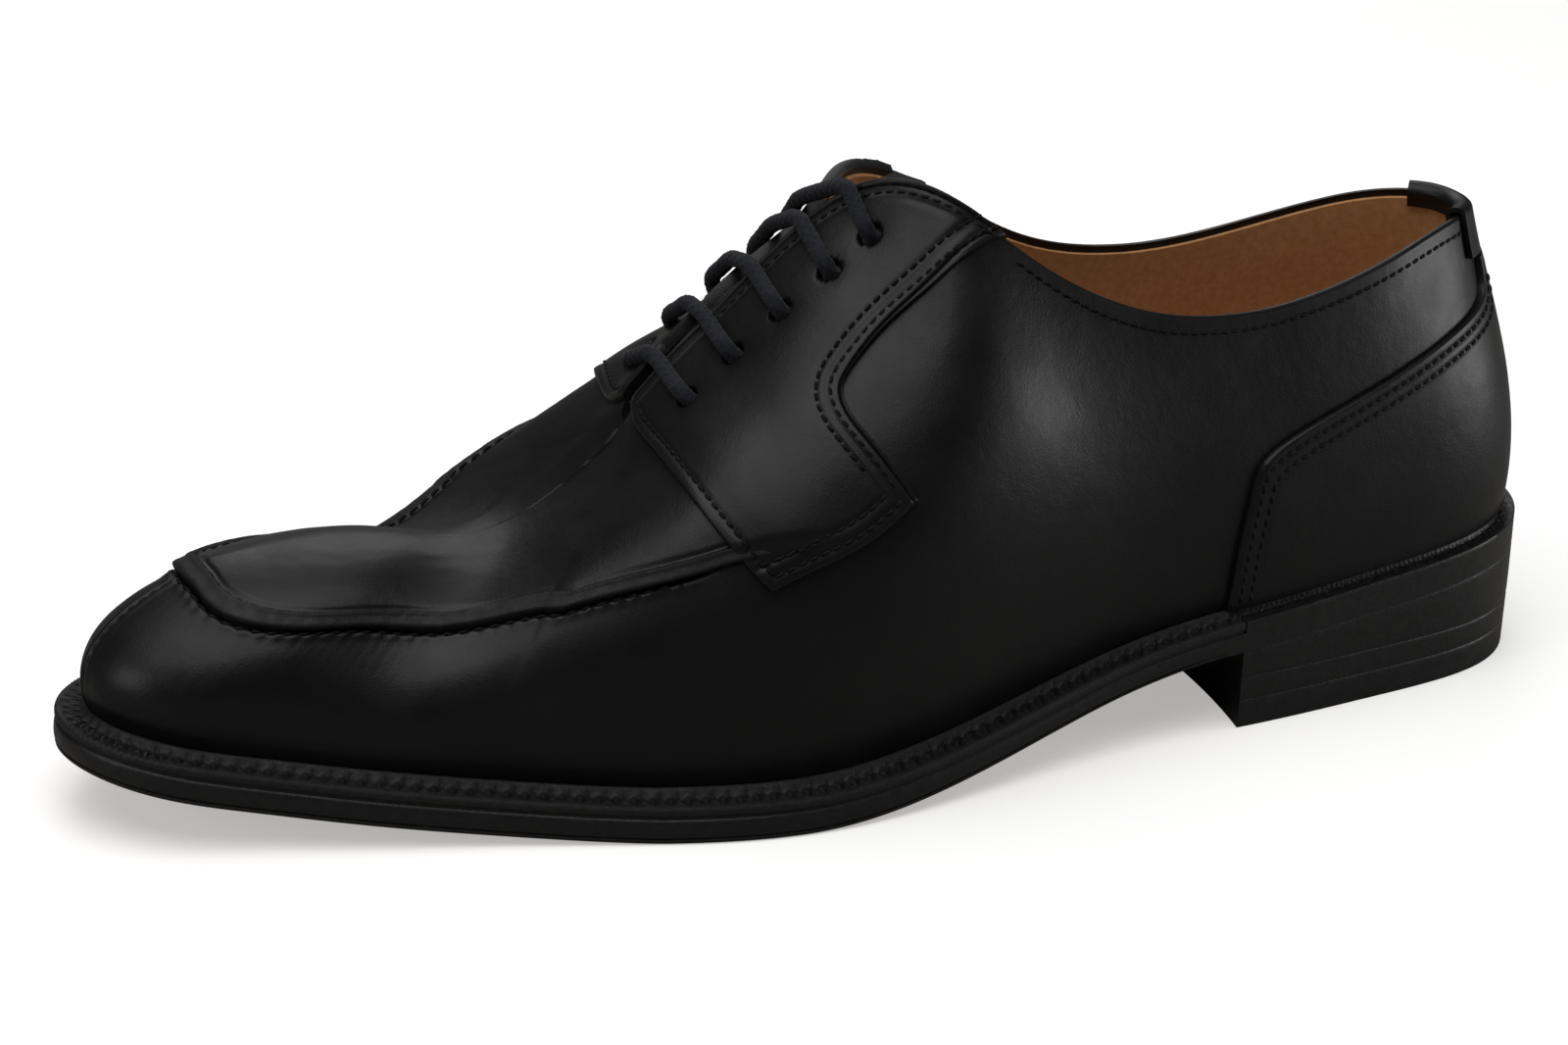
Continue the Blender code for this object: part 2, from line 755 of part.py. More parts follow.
def counter_mesh():
    """The outside counter round the heel, with its narrow strip up the back."""
    top = 1 - (COLLAR_TAB_DROP + 2 * FIT_GAP) / rib_length([0.0])
    shares = (0, 0.12, 0.24, 0.36, 0.48, 0.56, 0.61, 0.64, 0.66, 0.68, 0.70, 0.74, *top)
    shares = np.array(shares)
    (reach,) = column_reader(COUNTER_ROWS)(shares)
    places = reach[:, None] * np.linspace(-1, 1, 21)[None, :]
    grid = np.broadcast_to(shares[:, None], places.shape)
    lifts = np.full(places.shape, OVERLAY_THICK)
    return overlay_mesh("heel_counter", places, grid, lifts)


def collar_tab_mesh():
    """A thin strip folded over the collar at the back, outside and in."""
    places = np.linspace(-TAB_PLACE, TAB_PLACE, 11)
    drop = COLLAR_TAB_DROP / rib_length(places)
    shares = 1 - drop[:, None] * np.array((1, 0.5, 0, 0, 0, 0.5, 1))[None, :]
    inside = -UPPER_WALL - OVERLAY_GAP
    near = np.array((1, 1, 1, 0, 0, 0, 0)) * OVERLAY_GAP
    near += np.array((0, 0, 0, 0, 1, 1, 1)) * inside
    near[3] = -UPPER_WALL / 2
    away = near + COLLAR_TAB_THICK * np.array((1, 1, 1, 0, -1, -1, -1))
    over = FIT_GAP * np.array((0, 0, 1, 1, 1, 0, 0))
    crest = over + COLLAR_TAB_THICK * np.array((0, 0, 0.4, 1, 0.4, 0, 0))
    top = rib_point(places, 1.0)
    upward = top - rib_point(places, 0.97)
    upward /= np.linalg.norm(upward, axis=-1, keepdims=True)
    grid = np.broadcast_to(places[:, None], shares.shape)
    low = lifted(grid, shares, near[None, :]) + upward[:, None] * over[:, None]
    high = lifted(grid, shares, away[None, :]) + upward[:, None] * crest[:, None]
    index = np.arange(shares.size).reshape(shares.shape)
    return shell_mesh("collar_tab", high, low, grid_faces(index))


def tongue_sheet(extra):
    """Points of the tongue this much deeper than its top side, outer side first."""
    places = np.linspace(TONGUE_TOP_PLACE, TONGUE_FRONT_PLACE, 12)
    shares, depths = np.array(TONGUE_ROWS).T
    free = smooth_step((TONGUE_FRONT_PLACE - 0.25 - places) / 0.7)[:, None]
    depths = TONGUE_SEAT_DEPTH + (depths - TONGUE_SEAT_DEPTH) * free + extra
    outer = lifted(places[:, None], shares, -depths)
    inner = lifted(mirrored(places)[:, None], shares[::-1], -depths[:, ::-1])
    middle = (outer[:, -1:] + inner[:, :1]) / 2
    sheet = np.concatenate((outer[:, :-1], middle, inner[:, 1:]), axis=1)
    upward = sheet[0] - sheet[1]
    upward /= np.linalg.norm(upward, axis=-1, keepdims=True)
    return np.concatenate(((sheet[0] + upward * TONGUE_REACH)[None], sheet))


def tongue_mesh():
    """The tongue below both facings, bent over the instep and out at the top."""
    high = tongue_sheet(0.0)
    index = np.arange(high[..., 0].size).reshape(high.shape[:2])
    return shell_mesh("tongue", high, tongue_sheet(TONGUE_THICK), grid_faces(index))


def eyelet(number, side):
    place, share = EYELET_ROWS[number]
    return (place if side > 0 else float(mirrored(place))), share


def lace_point(place, share, inward, lift):
    """A point beside a place on the upper, moved up the rib by this many metres."""
    share = min(share + inward / float(rib_length([place])[0]), 1.0)
    return lifted(place, share, lift)


def over_lift():
    return FIT_GAP + OVERLAY_THICK + LACE_ROOM + LACE_RADIUS


def under_lift():
    return -(UPPER_WALL + LACE_ROOM + LACE_RADIUS)


def climb(number, side):
    """The lace's way up through a hole and over the facing to the throat."""
    place, share = eyelet(number, side)
    over, under = over_lift(), under_lift()
    edge = lace_point(place, 1.0, 0.0, over)
    return [
        lace_point(place, share, 0.0, 0.7 * under),
        lace_point(place, share, 0.0, 0.4 * over),
        lace_point(place, share, 0.0006, 0.73 * over),
        lace_point(place, share, 0.0023, over),
        lace_point(place, share, 0.0068, over + 0.0001),
        edge,
    ]


def under_run(start, end, side, shares):
    """The lace's hidden way below the facing from one hole to another."""
    (one, low), (other, high) = eyelet(start, side), eyelet(end, side)
    depth = np.interp(shares, (0, 0.15, 0.85, 1), np.array((0.9, 1, 1, 0.9)) * under_lift())
    return [
        lifted(one + (other - one) * part, low + (high - low) * part, lift)
        for part, lift in zip(shares, depth)
    ]


def lace_route():
    """Five straight bars, and the hidden runs between them on alternate sides."""
    last = len(EYELET_ROWS) - 1
    route = []
    for number in range(last, -1, -1):
        place, share = eyelet(number, 1)
        route.append(lace_point(place, share, -SECOND_LANE, under_lift()))
    place, share = eyelet(0, 1)
    route.append(lace_point(place, share, -SECOND_LANE / 3, under_lift()))
    side = 1
    for number in range(last + 1):
        up = climb(number, side)
        down = climb(number, -side)[::-1]
        middle = (up[-1] + down[0]) / 2
        route += [*up, middle, *down]
        side = -side
        if number < last:
            route += under_run(number, number + 1, side, (0.17, 0.5, 0.83))
    route += under_run(last, last - 1, side, (0.2,))
    return world(np.array(route))


def lace_curve():
    curve = bpy.data.curves.new("laces", "CURVE")
    curve.dimensions = "3D"
    curve.bevel_depth = LACE_RADIUS
    curve.bevel_resolution = 1
    curve.use_fill_caps = True
    route = lace_route()
    spline = curve.splines.new("POLY")
    spline.points.add(len(route) - 1)
    for point, place in zip(spline.points, route):
        point.co = (*place, 1)
    return curve


def add_hole_cutter(side, collection, parent):
    """Five round punches through facing and quarter, square to the surface."""
    body = bmesh.new()
    for number in range(len(EYELET_ROWS)):
        place, share = eyelet(number, side)
        centre = Vector(world(rib_point(place, share)))
        normal = Vector(world_way(surface_normal(place, share)))
        turn = normal.to_track_quat("Z", "Y").to_matrix().to_4x4()
        bmesh.ops.create_cone(
            body,
            cap_ends=True,
            segments=10,
            radius1=HOLE_RADIUS,
            radius2=HOLE_RADIUS,
            depth=4 * (UPPER_WALL + OVERLAY_THICK),
            matrix=Matrix.Translation(centre) @ turn,
        )
    mesh = bpy.data.meshes.new("hole_cutter")
    body.to_mesh(mesh)
    body.free()
    name = "hole_cutter_outer" if side > 0 else "hole_cutter_inner"
    cutter = bpy.data.objects.new(name, mesh)
    cutter.parent = parent
    cutter.hide_render = True
    cutter.display_type = "WIRE"
    collection.objects.link(cutter)
    return cutter


def cut_holes(piece, cutter):
    modifier = piece.modifiers.new(cutter.name, "BOOLEAN")
    modifier.operation = "DIFFERENCE"
    modifier.solver = "EXACT"
    modifier.object = cutter


BLACK_CALF = ((0.012, 0.012, 0.013), 0.36)
BLACK_EDGE = ((0.018, 0.017, 0.017), 0.45)
BLACK_RAW = ((0.020, 0.019, 0.019), 0.70)
SOLE_LEATHER = ((0.300, 0.130, 0.060), 0.60)
LINING_TAN = ((0.480, 0.230, 0.080), 0.65)
LACE_NAVY = ((0.010, 0.012, 0.022), 0.80)


def clear_scene():
    for piece in list(bpy.data.objects):
        bpy.data.objects.remove(piece, do_unlink=True)


def add_collection(name):
    collection = bpy.data.collections.new(name)
    bpy.context.scene.collection.children.link(collection)
    return collection


def main():
    clear_scene()
    shoe = add_collection("split_toe_derby")
    cutters = add_collection("cutters")
    root = bpy.data.objects.new("shoe", None)
    shoe.objects.link(root)

    lift_base = TOP_PIECE_THICK + FIT_GAP
    wedge_base = lift_base + HEEL_LIFT_THICK + FIT_GAP
    pieces = {}
    for name, data, finish in (
        ("outsole", outsole_mesh(), SOLE_LEATHER),
        ("heel_top_piece", heel_layer_mesh("heel_top_piece", 0.0, TOP_PIECE_THICK), BLACK_EDGE),
        (
            "heel_lift_2",
            heel_layer_mesh("heel_lift_2", lift_base, lift_base + HEEL_LIFT_THICK),
            BLACK_EDGE,
        ),
        ("heel_lift_1", heel_layer_mesh("heel_lift_1", wedge_base, None), BLACK_EDGE),
        ("welt", welt_mesh(), BLACK_RAW),
        ("heel_rand", heel_rand_mesh(), BLACK_EDGE),
        ("insole", insole_mesh(), LINING_TAN),
        ("upper", upper_mesh(), BLACK_CALF),
        ("apron", apron_mesh(), BLACK_CALF),
        ("heel_counter", counter_mesh(), BLACK_CALF),
        ("facing_outer", facing_mesh("facing_outer", 1), BLACK_CALF),
        ("facing_inner", facing_mesh("facing_inner", -1), BLACK_CALF),
        ("tongue", tongue_mesh(), BLACK_CALF),
        ("collar_tab", collar_tab_mesh(), BLACK_CALF),
        ("laces", lace_curve(), LACE_NAVY),
    ):
        pieces[name] = add_object(name, data, shoe, root, finish)

    for side, facing in ((1, "facing_outer"), (-1, "facing_inner")):
        cutter = add_hole_cutter(side, cutters, root)
        cut_holes(pieces["upper"], cutter)
        cut_holes(pieces[facing], cutter)


main()
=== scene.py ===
"""The looks of a left split toe derby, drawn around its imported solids.

Metres, +Z up, toe towards -Y, outer side of the foot towards +X, the floor at Z = 0.
The tables and the form functions repeat the part's own, so the fine skins lie where
the solids lie. Each fine piece replaces its solid.
"""

import math

import bpy
import numpy as np
from mathutils import Matrix, Vector

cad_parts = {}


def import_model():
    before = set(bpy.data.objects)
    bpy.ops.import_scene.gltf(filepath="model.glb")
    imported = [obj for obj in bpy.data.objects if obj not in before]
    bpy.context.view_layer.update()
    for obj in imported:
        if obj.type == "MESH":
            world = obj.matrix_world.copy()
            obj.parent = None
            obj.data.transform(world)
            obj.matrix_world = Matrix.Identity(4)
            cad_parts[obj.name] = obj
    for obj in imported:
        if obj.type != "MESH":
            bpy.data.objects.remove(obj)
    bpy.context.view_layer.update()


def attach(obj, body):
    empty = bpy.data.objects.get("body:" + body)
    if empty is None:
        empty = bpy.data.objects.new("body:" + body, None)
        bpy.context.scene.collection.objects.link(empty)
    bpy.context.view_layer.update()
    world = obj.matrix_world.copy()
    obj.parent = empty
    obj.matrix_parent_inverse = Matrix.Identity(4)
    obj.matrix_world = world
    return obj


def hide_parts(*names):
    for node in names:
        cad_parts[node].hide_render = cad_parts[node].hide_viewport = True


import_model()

# The last, which is the foot form that all pieces are drawn around.
LAST_LENGTH = 0.2908
BALL_WIDTH = 0.092
BACK_HEIGHT = 0.0605
INSTEP_HEIGHT = 0.100

# The bottom.
WELT_LEDGE = 0.0060
OUTSOLE_THICK = 0.0048
WAIST_THINNING = 0.0010
WELT_THICK = 0.0022
WELT_CROWN = 0.0015
HEEL_BACK_RISE = 0.0223
HEEL_BREAST_RISE = 0.0159
HEEL_LENGTH = 0.077
HEEL_TAPER = 0.0003
BREAST_CURVE = 0.0030
TOP_PIECE_THICK = 0.0055
HEEL_LIFT_THICK = 0.0045
TREAD_START = 0.176
TREAD_END = 0.200
TOE_SPRING = 0.0130

# The insole.
INSOLE_THICK = 0.0026

# The upper.
UPPER_WALL = 0.0020
THROAT_GAP = 0.0036
THROAT_RIB = 10.1
TONGUE_THICK = 0.0018
TONGUE_REACH = 0.0090
COLLAR_TAB_DROP = 0.0085

# The lace.
LACE_RADIUS = 0.0015

# Pieces that lie on each other keep this distance.
FIT_GAP = 0.0003

# Rows of the tables below run from the back of the heel (0) to the toe tip (last).
# A place between two rows is a rib number with a fraction, such as 3.5.
# Plan of the feather line, where the upper meets the sole. Along is a share of
# LAST_LENGTH, outer and inner are shares of BALL_WIDTH, ledges of WELT_LEDGE.
FEATHER_ROWS = (
    # along, outer, inner, ledge outer, ledge inner
    (0.000, 0.000, 0.000, 0.70, 0.70),
    (0.020, 0.165, 0.163, 0.68, 0.68),
    (0.070, 0.262, 0.262, 0.62, 0.62),
    (0.145, 0.310, 0.305, 0.60, 0.57),
    (0.235, 0.345, 0.300, 0.68, 0.57),
    (0.335, 0.370, 0.270, 0.80, 0.57),
    (0.435, 0.435, 0.255, 0.92, 0.67),
    (0.530, 0.495, 0.305, 1.00, 0.85),
    (0.615, 0.500, 0.390, 1.00, 0.95),
    (0.695, 0.435, 0.455, 1.00, 1.00),
    (0.770, 0.362, 0.460, 1.00, 1.00),
    (0.845, 0.297, 0.405, 1.00, 1.00),
    (0.915, 0.234, 0.305, 0.97, 0.97),
    (0.972, 0.165, 0.165, 0.95, 0.95),
    (1.000, 0.010, 0.010, 0.95, 0.95),
)

# The collar, the edges of the throat and, from the throat to the toe, the ridge of
# the vamp. Heights above the feather line are the sum of two shares.
TOPLINE_ROWS = (
    # along, outer, inner, of back height, of instep height outer, inner
    (0.0366, 0.000, 0.000, 1.000, 0.000, 0.000),
    (0.0487, 0.085, 0.085, 1.010, 0.000, 0.000),
    (0.0887, 0.168, 0.168, 1.015, 0.000, -0.010),
    (0.1506, 0.245, 0.235, 0.980, 0.000, -0.025),
    (0.2376, 0.295, 0.265, 0.955, 0.000, -0.030),
    (0.3267, 0.315, 0.275, 0.900, 0.100, 0.080),
    (0.4080, 0.293, 0.265, 0.500, 0.512, 0.506),
    (0.4684, 0.217, 0.205, 0.250, 0.825, 0.745),
    (0.5134, 0.060, 0.060, 0.000, 0.951, 0.868),
    (0.5781, 0.025, 0.010, 0.000, 0.786, 0.768),
    (0.6426, 0.015, 0.005, 0.000, 0.577, 0.577),
    (0.7272, -0.005, 0.010, 0.000, 0.374, 0.374),
    (0.7969, -0.010, 0.015, 0.000, 0.348, 0.348),
    (0.8616, -0.015, 0.020, 0.000, 0.326, 0.326),
    (0.9064, -0.020, 0.020, 0.000, 0.292, 0.292),
)

# The shape of each rib between those two lines. Lean is how far the wall leans out at
# the feather line and slope how steeply it leaves the topline, both in degrees. Foot
# and top are the reach of the curve's two handles, as shares of the rib's height.
RIB_ROWS = (
    # lean outer, inner, slope outer, inner, foot, top
    (9.0, 9.0, 76.0, 76.0, 0.36, 0.36),
    (9.0, 9.0, 76.0, 76.0, 0.36, 0.36),
    (9.0, 10.0, 78.0, 78.0, 0.36, 0.36),
    (9.0, 12.0, 80.0, 80.0, 0.36, 0.36),
    (11.0, 17.0, 80.0, 78.0, 0.38, 0.36),
    (14.0, 26.0, 74.0, 72.0, 0.40, 0.40),
    (16.0, 32.0, 62.0, 64.0, 0.42, 0.45),
    (15.0, 30.0, 50.0, 52.0, 0.45, 0.48),
    (14.0, 22.0, 36.0, 41.0, 0.45, 0.50),
    (14.0, 10.0, 24.0, 38.0, 0.50, 0.46),
    (16.0, 6.0, 15.0, 36.0, 0.58, 0.40),
    (15.0, 6.0, 8.0, 25.0, 0.64, 0.43),
    (15.0, 10.0, 3.0, 12.0, 0.70, 0.48),
    (21.0, 18.0, 0.0, 5.0, 0.60, 0.50),
    (26.0, 26.0, 0.0, 0.0, 0.555, 0.52),
)

# Edges of the overlays, as rib places and shares of the rib's height. The inner side
# has the same edges, mirrored.
FACING_FRONT_ROWS = (
    # place, share
    (8.210, 0.348),
    (8.415, 0.398),
    (8.765, 0.498),
    (9.335, 0.670),
    (9.790, 0.835),
    (9.960, 0.940),
    (9.980, 1.000),
)
FACING_BACK_ROWS = (
    # place, share
    (7.325, 0.485),
    (7.715, 0.583),
    (7.955, 0.648),
    (8.040, 0.692),
    (7.985, 0.728),
    (7.730, 0.785),
    (7.260, 0.850),
    (6.700, 0.935),
    (6.245, 1.000),
)
FACING_FOOT_ROWS = (
    # place, share
    (8.210, 0.348),
    (7.940, 0.378),
    (7.600, 0.418),
    (7.325, 0.485),
)
APRON_ROWS = (
    # place, share of the apron seam
    (8.60, 0.419),
    (9.10, 0.415),
    (9.85, 0.420),
    (10.10, 0.432),
    (11.28, 0.500),
    (12.07, 0.474),
    (12.80, 0.520),
    (13.32, 0.655),
    (13.60, 0.745),
    (14.00, 0.800),
)
COUNTER_ROWS = (
    # share, place of the seam
    (0.000, 4.25),
    (0.210, 4.23),
    (0.360, 4.17),
    (0.500, 4.06),
    (0.580, 3.68),
    (0.635, 3.03),
    (0.665, 2.30),
    (0.700, 1.50),
    (0.760, 1.05),
    (1.000, 0.85),
)
TONGUE_ROWS = (
    # share from the side to the throat, depth below the last
    (0.740, 0.0066),
    (0.820, 0.0066),
    (0.900, 0.0066),
    (1.000, 0.0048),
)
TONGUE_TOP_PLACE = 7.72
TONGUE_FRONT_PLACE = 10.70
TONGUE_SEAT_DEPTH = 0.0028
EYELET_ROWS = (
    # place, share
    (9.380, 0.852),
    (8.960, 0.870),
    (8.545, 0.880),
    (8.150, 0.895),
    (7.780, 0.925),
)
TAB_PLACE = 1.25
TOE = len(FEATHER_ROWS) - 1
AROUND = 2 * TOE


def around(outer, inner):
    """Column values round the whole shoe: heel, outer side, toe, inner side."""
    return [*outer, *inner[-2:0:-1]]


def closed_spline(rows):
    """A reader of the smooth closed curve through the rows, one step apart."""
    rows = np.asarray(rows, float)
    one = np.eye(len(rows))
    matrix = 4 * one + np.roll(one, 1, axis=0) + np.roll(one, -1, axis=0)
    change = np.roll(rows, -1, axis=0) - 2 * rows + np.roll(rows, 1, axis=0)
    bend = np.linalg.solve(matrix, 6 * change)

    def read(place):
        place = np.asarray(place, float) % len(rows)
        first = np.floor(place).astype(int) % len(rows)
        second = (first + 1) % len(rows)
        part = (place - np.floor(place))[..., None]
        rest = 1 - part
        return (
            rest * rows[first]
            + part * rows[second]
            + (rest**3 - rest) * bend[first] / 6
            + (part**3 - part) * bend[second] / 6
        )

    return read


def read_feather():
    """Along, across and ledge of the feather line, in metres, round the shoe."""
    along, outer, inner, ledge_out, ledge_in = np.array(FEATHER_ROWS).T
    heel_ledge = ledge_out[0] * WELT_LEDGE
    columns = (
        heel_ledge + LAST_LENGTH * np.array(around(along, along)),
        BALL_WIDTH * np.array(around(outer, -inner)),
        WELT_LEDGE * np.array(around(ledge_out, ledge_in)),
    )
    columns[1][TOE] = BALL_WIDTH * outer[TOE]
    return closed_spline(np.transpose(columns))


def read_topline():
    along, outer, inner, back, instep_out, instep_in = np.array(TOPLINE_ROWS).T
    heel_ledge = FEATHER_ROWS[0][3] * WELT_LEDGE
    columns = (
        heel_ledge + LAST_LENGTH * np.array(around(along, along)),
        BALL_WIDTH * np.array(around(outer, -inner)),
        BACK_HEIGHT * np.array(around(back, back))
        + INSTEP_HEIGHT * np.array(around(instep_out, instep_in)),
    )
    return closed_spline(np.transpose(columns))


def read_ribs():
    lean_out, lean_in, slope_out, slope_in, foot, top = np.array(RIB_ROWS).T
    columns = (
        np.radians(around(lean_out, lean_in)),
        np.radians(around(slope_out, slope_in)),
        around(foot, foot),
        around(top, top),
    )
    return closed_spline(np.transpose(columns))


FEATHER = read_feather()
TOPLINE = read_topline()
RIBS = read_ribs()


def smooth_step(value):
    value = np.clip(value, 0, 1)
    return value * value * (3 - 2 * value)


def feather_normal(place):
    """The outward direction of the feather line, as (along, across)."""
    step = 0.01
    run = FEATHER(place + step)[..., :2] - FEATHER(place - step)[..., :2]
    run /= np.linalg.norm(run, axis=-1, keepdims=True)
    return np.stack((-run[..., 1], run[..., 0]), axis=-1)


def plan_point(place, out):
    """(along, across) of a point this far outside the feather line."""
    return FEATHER(place)[..., :2] + feather_normal(place) * np.asarray(out)[..., None]


def sole_edge(place):
    """(along, across) of the outer edge of welt and outsole."""
    return plan_point(place, FEATHER(place)[..., 2])


def sole_rise(along):
    """Height of the outsole's underside: seat, waist, flat tread and toe spring."""
    along = np.asarray(along, float)
    seat_fall = (HEEL_BACK_RISE - HEEL_BREAST_RISE) / HEEL_LENGTH
    seat = HEEL_BACK_RISE - seat_fall * along
    length = TREAD_START - HEEL_LENGTH
    part = np.clip((along - HEEL_LENGTH) / length, 0, 1)
    waist = HEEL_BREAST_RISE * (1 + 2 * part) * (1 - part) ** 2
    waist -= seat_fall * length * part * (1 - part) ** 2
    toe_along = FEATHER(float(TOE))[0] + WELT_LEDGE
    part = np.clip((along - TREAD_END) / (toe_along - TREAD_END), 0, None)
    toe = TOE_SPRING * part**1.5
    return np.where(along < HEEL_LENGTH, seat, waist) + toe


def sole_top(along):
    """Height of the outsole's upper side. Waist and seat are thinner than the tread."""
    forward = smooth_step((along - HEEL_LENGTH) / (TREAD_START - HEEL_LENGTH))
    return sole_rise(along) + OUTSOLE_THICK - WAIST_THINNING * (1 - forward)


def feather_height(along):
    """Height of the welt's crown, on which the upper stands."""
    return sole_top(along) + FIT_GAP + WELT_THICK + WELT_CROWN + FIT_GAP


def mirrored(place):
    """The same place on the other side."""
    return AROUND - np.asarray(place, float)


def rib_of(place):
    """The rib number of a place on either side."""
    place = np.asarray(place, float) % AROUND
    return np.minimum(place, AROUND - place)


def topline_point(place):
    """(along, across, height) of the collar, throat edge or vamp ridge."""
    place = np.asarray(place, float)
    rib = rib_of(place)
    side = np.where(place % AROUND <= TOE, 1.0, -1.0)
    own, other = TOPLINE(place), TOPLINE(mirrored(place))
    shared = smooth_step((rib - 8.0) / 2.0)[..., None]
    point = own * (1 - shared) + (own + other) / 2 * shared
    throat_front = TOPLINE(THROAT_RIB)[0]
    behind = np.clip((throat_front - point[..., 0]) / THROAT_GAP, 0, 1)
    gap = THROAT_GAP / 2 * np.sqrt(1 - (1 - behind) ** 2)
    point[..., 1] += side * gap * smooth_step((rib - 7.0) / 1.5)
    point[..., 2] += feather_height(point[..., 0])
    return point


def rib_point(place, share):
    """(along, across, height) on the last, share 0 at the feather, 1 at the topline."""
    place, share = np.broadcast_arrays(np.asarray(place, float), share)
    foot = FEATHER(place)
    foot_point = np.stack((foot[..., 0], foot[..., 1], feather_height(foot[..., 0])), -1)
    top_point = topline_point(place)
    lean, slope, foot_reach, top_reach = np.moveaxis(RIBS(place), -1, 0)
    rise = top_point[..., 2] - foot_point[..., 2]
    spread = np.linalg.norm(top_point[..., :2] - foot_point[..., :2], axis=-1)
    normal = feather_normal(place)
    foot_way = np.stack(
        (
            normal[..., 0] * np.sin(lean),
            normal[..., 1] * np.sin(lean),
            np.cos(lean),
        ),
        -1,
    )
    ridge_fall = ridge_slope(place)
    top_way = np.stack(
        (
            normal[..., 0] * np.cos(slope),
            normal[..., 1] * np.cos(slope),
            normal[..., 0] * np.cos(slope) * ridge_fall - np.sin(slope),
        ),
        -1,
    )
    reach = np.hypot(rise, 0.5 * spread)
    foot_handle = foot_point + foot_way * (foot_reach * rise)[..., None]
    top_handle = top_point + top_way * (top_reach * reach)[..., None]
    part = share[..., None]
    rest = 1 - part
    return (
        rest**3 * foot_point
        + 3 * rest**2 * part * foot_handle
        + 3 * rest * part**2 * top_handle
        + part**3 * top_point
    )


def ridge_slope(place):
    """How the ridge falls towards the toe, which its cross ribs follow there."""
    rib = np.clip(rib_of(place), 9.0, TOE - 0.25)
    step = 0.2
    run = topline_point(rib + step) - topline_point(rib - step)
    on_ridge = smooth_step((rib_of(place) - 8.0) / 2.0)
    return run[..., 2] / run[..., 0] * on_ridge


def surface_normal(place, share):
    """Outward unit normal of the last, as (along, across, height)."""
    share = np.clip(share, 0.002, 0.985)
    step = 0.004
    by_place = rib_point(place + step, share) - rib_point(place - step, share)
    by_share = rib_point(place, share + step / 2) - rib_point(place, share - step / 2)
    normal = np.cross(by_share, by_place)
    return normal / np.linalg.norm(normal, axis=-1, keepdims=True)


def lifted(place, share, lift):
    """A point this far above the last's surface, in the shoe's own terms."""
    place, share, lift = np.broadcast_arrays(np.asarray(place, float), share, lift)
    normal = surface_normal(place, share)
    on_ridge = ((share > 0.999) & (rib_of(place) > THROAT_RIB - 0.5))[..., None]
    both = normal + surface_normal(mirrored(place), share)
    both /= np.linalg.norm(both, axis=-1, keepdims=True)
    normal = np.where(on_ridge, both, normal)
    return rib_point(place, share) + normal * lift[..., None]


def open_spline(rows):
    """A reader of the smooth curve through the rows, which takes 0 to 1."""
    rows = np.asarray(rows, float)
    count = len(rows)
    matrix = np.eye(count)
    change = np.zeros_like(rows)
    for row in range(1, count - 1):
        matrix[row, row - 1 : row + 2] = 1, 4, 1
        change[row] = 6 * (rows[row - 1] - 2 * rows[row] + rows[row + 1])
    bend = np.linalg.solve(matrix, change)

    def read(share):
        place = np.asarray(share, float) * (count - 1)
        first = np.clip(np.floor(place).astype(int), 0, count - 2)
        part = (place - first)[..., None]
        rest = 1 - part
        return (
            rest * rows[first]
            + part * rows[first + 1]
            + (rest**3 - rest) * bend[first] / 6
            + (part**3 - part) * bend[first + 1] / 6
        )

    return read


# The plan box of the outsole, which centres the shoe on the origin.
OUTLINE = sole_edge(np.linspace(0, AROUND, 2000))
MIDDLE = (OUTLINE.min(axis=0) + OUTLINE.max(axis=0)) / 2


def world(points):
    """X, Y and Z of points given as along, across and height."""
    points = np.asarray(points, float)
    return np.stack(
        (points[..., 1] - MIDDLE[1], MIDDLE[0] - points[..., 0], points[..., 2]), -1
    )


def world_way(ways):
    """Directions given as along, across and height, turned into X, Y and Z."""
    ways = np.asarray(ways, float)
    return np.stack((ways[..., 1], -ways[..., 0], ways[..., 2]), -1)


def with_height(plan, height):
    return np.concatenate((plan, np.broadcast_to(height, plan.shape[:-1])[..., None]), -1)


def breast_place(side):
    """The rib place at which the heel's breast meets the sole edge of one side."""
    ribs = np.linspace(2, 7, 500)
    along = sole_edge(ribs if side > 0 else mirrored(ribs))[:, 0]
    return float(np.interp(HEEL_LENGTH, along, ribs))


# Looks.
SKIN_THICK = 0.0012
SEAM_LIFT = 0.0014
FACING_STEP = 0.0011
TAB_LIFT = 0.0011
LINING_DROP = 0.0014
RIDGE_WIDTH = 0.0150
METRES_PER_RIB = 0.0190
STITCH_PITCH = 0.0023
STITCH_RADIUS = 0.00033
STITCH_SLANT = 0.10
ROW_INSETS = (0.0022, 0.0046)
HEEL_GROOVE = 0.00016
# Depth and distance of the wheel marks.
WELT_NOTCH = 0.0007
WELT_PITCH = 0.0033
RAND_NOTCH = 0.0002
RAND_PITCH = 0.0012
BRAID_PITCH = 0.0100
BRAID_CARRIERS = 4

# Chance, seeded, and noise on a repeating lattice, so that each run is the same.
CHANCE = np.random.default_rng(7)
CELLS = 256
LATTICE = CHANCE.random((CELLS, CELLS))


def value_noise(x, y, layer=0):
    """Smooth noise from 0 to 1 on a plane, one bump per unit."""
    x = np.asarray(x, float) + 17.3 * layer
    y = np.asarray(y, float) + 41.7 * layer
    left, low = np.floor(x).astype(int), np.floor(y).astype(int)
    part_x, part_y = x - left, y - low
    part_x = part_x * part_x * (3 - 2 * part_x)
    part_y = part_y * part_y * (3 - 2 * part_y)
    left, low, right, high = (cell % CELLS for cell in (left, low, left + 1, low + 1))
    below = LATTICE[left, low] * (1 - part_x) + LATTICE[right, low] * part_x
    above = LATTICE[left, high] * (1 - part_x) + LATTICE[right, high] * part_x
    return below * (1 - part_y) + above * part_y


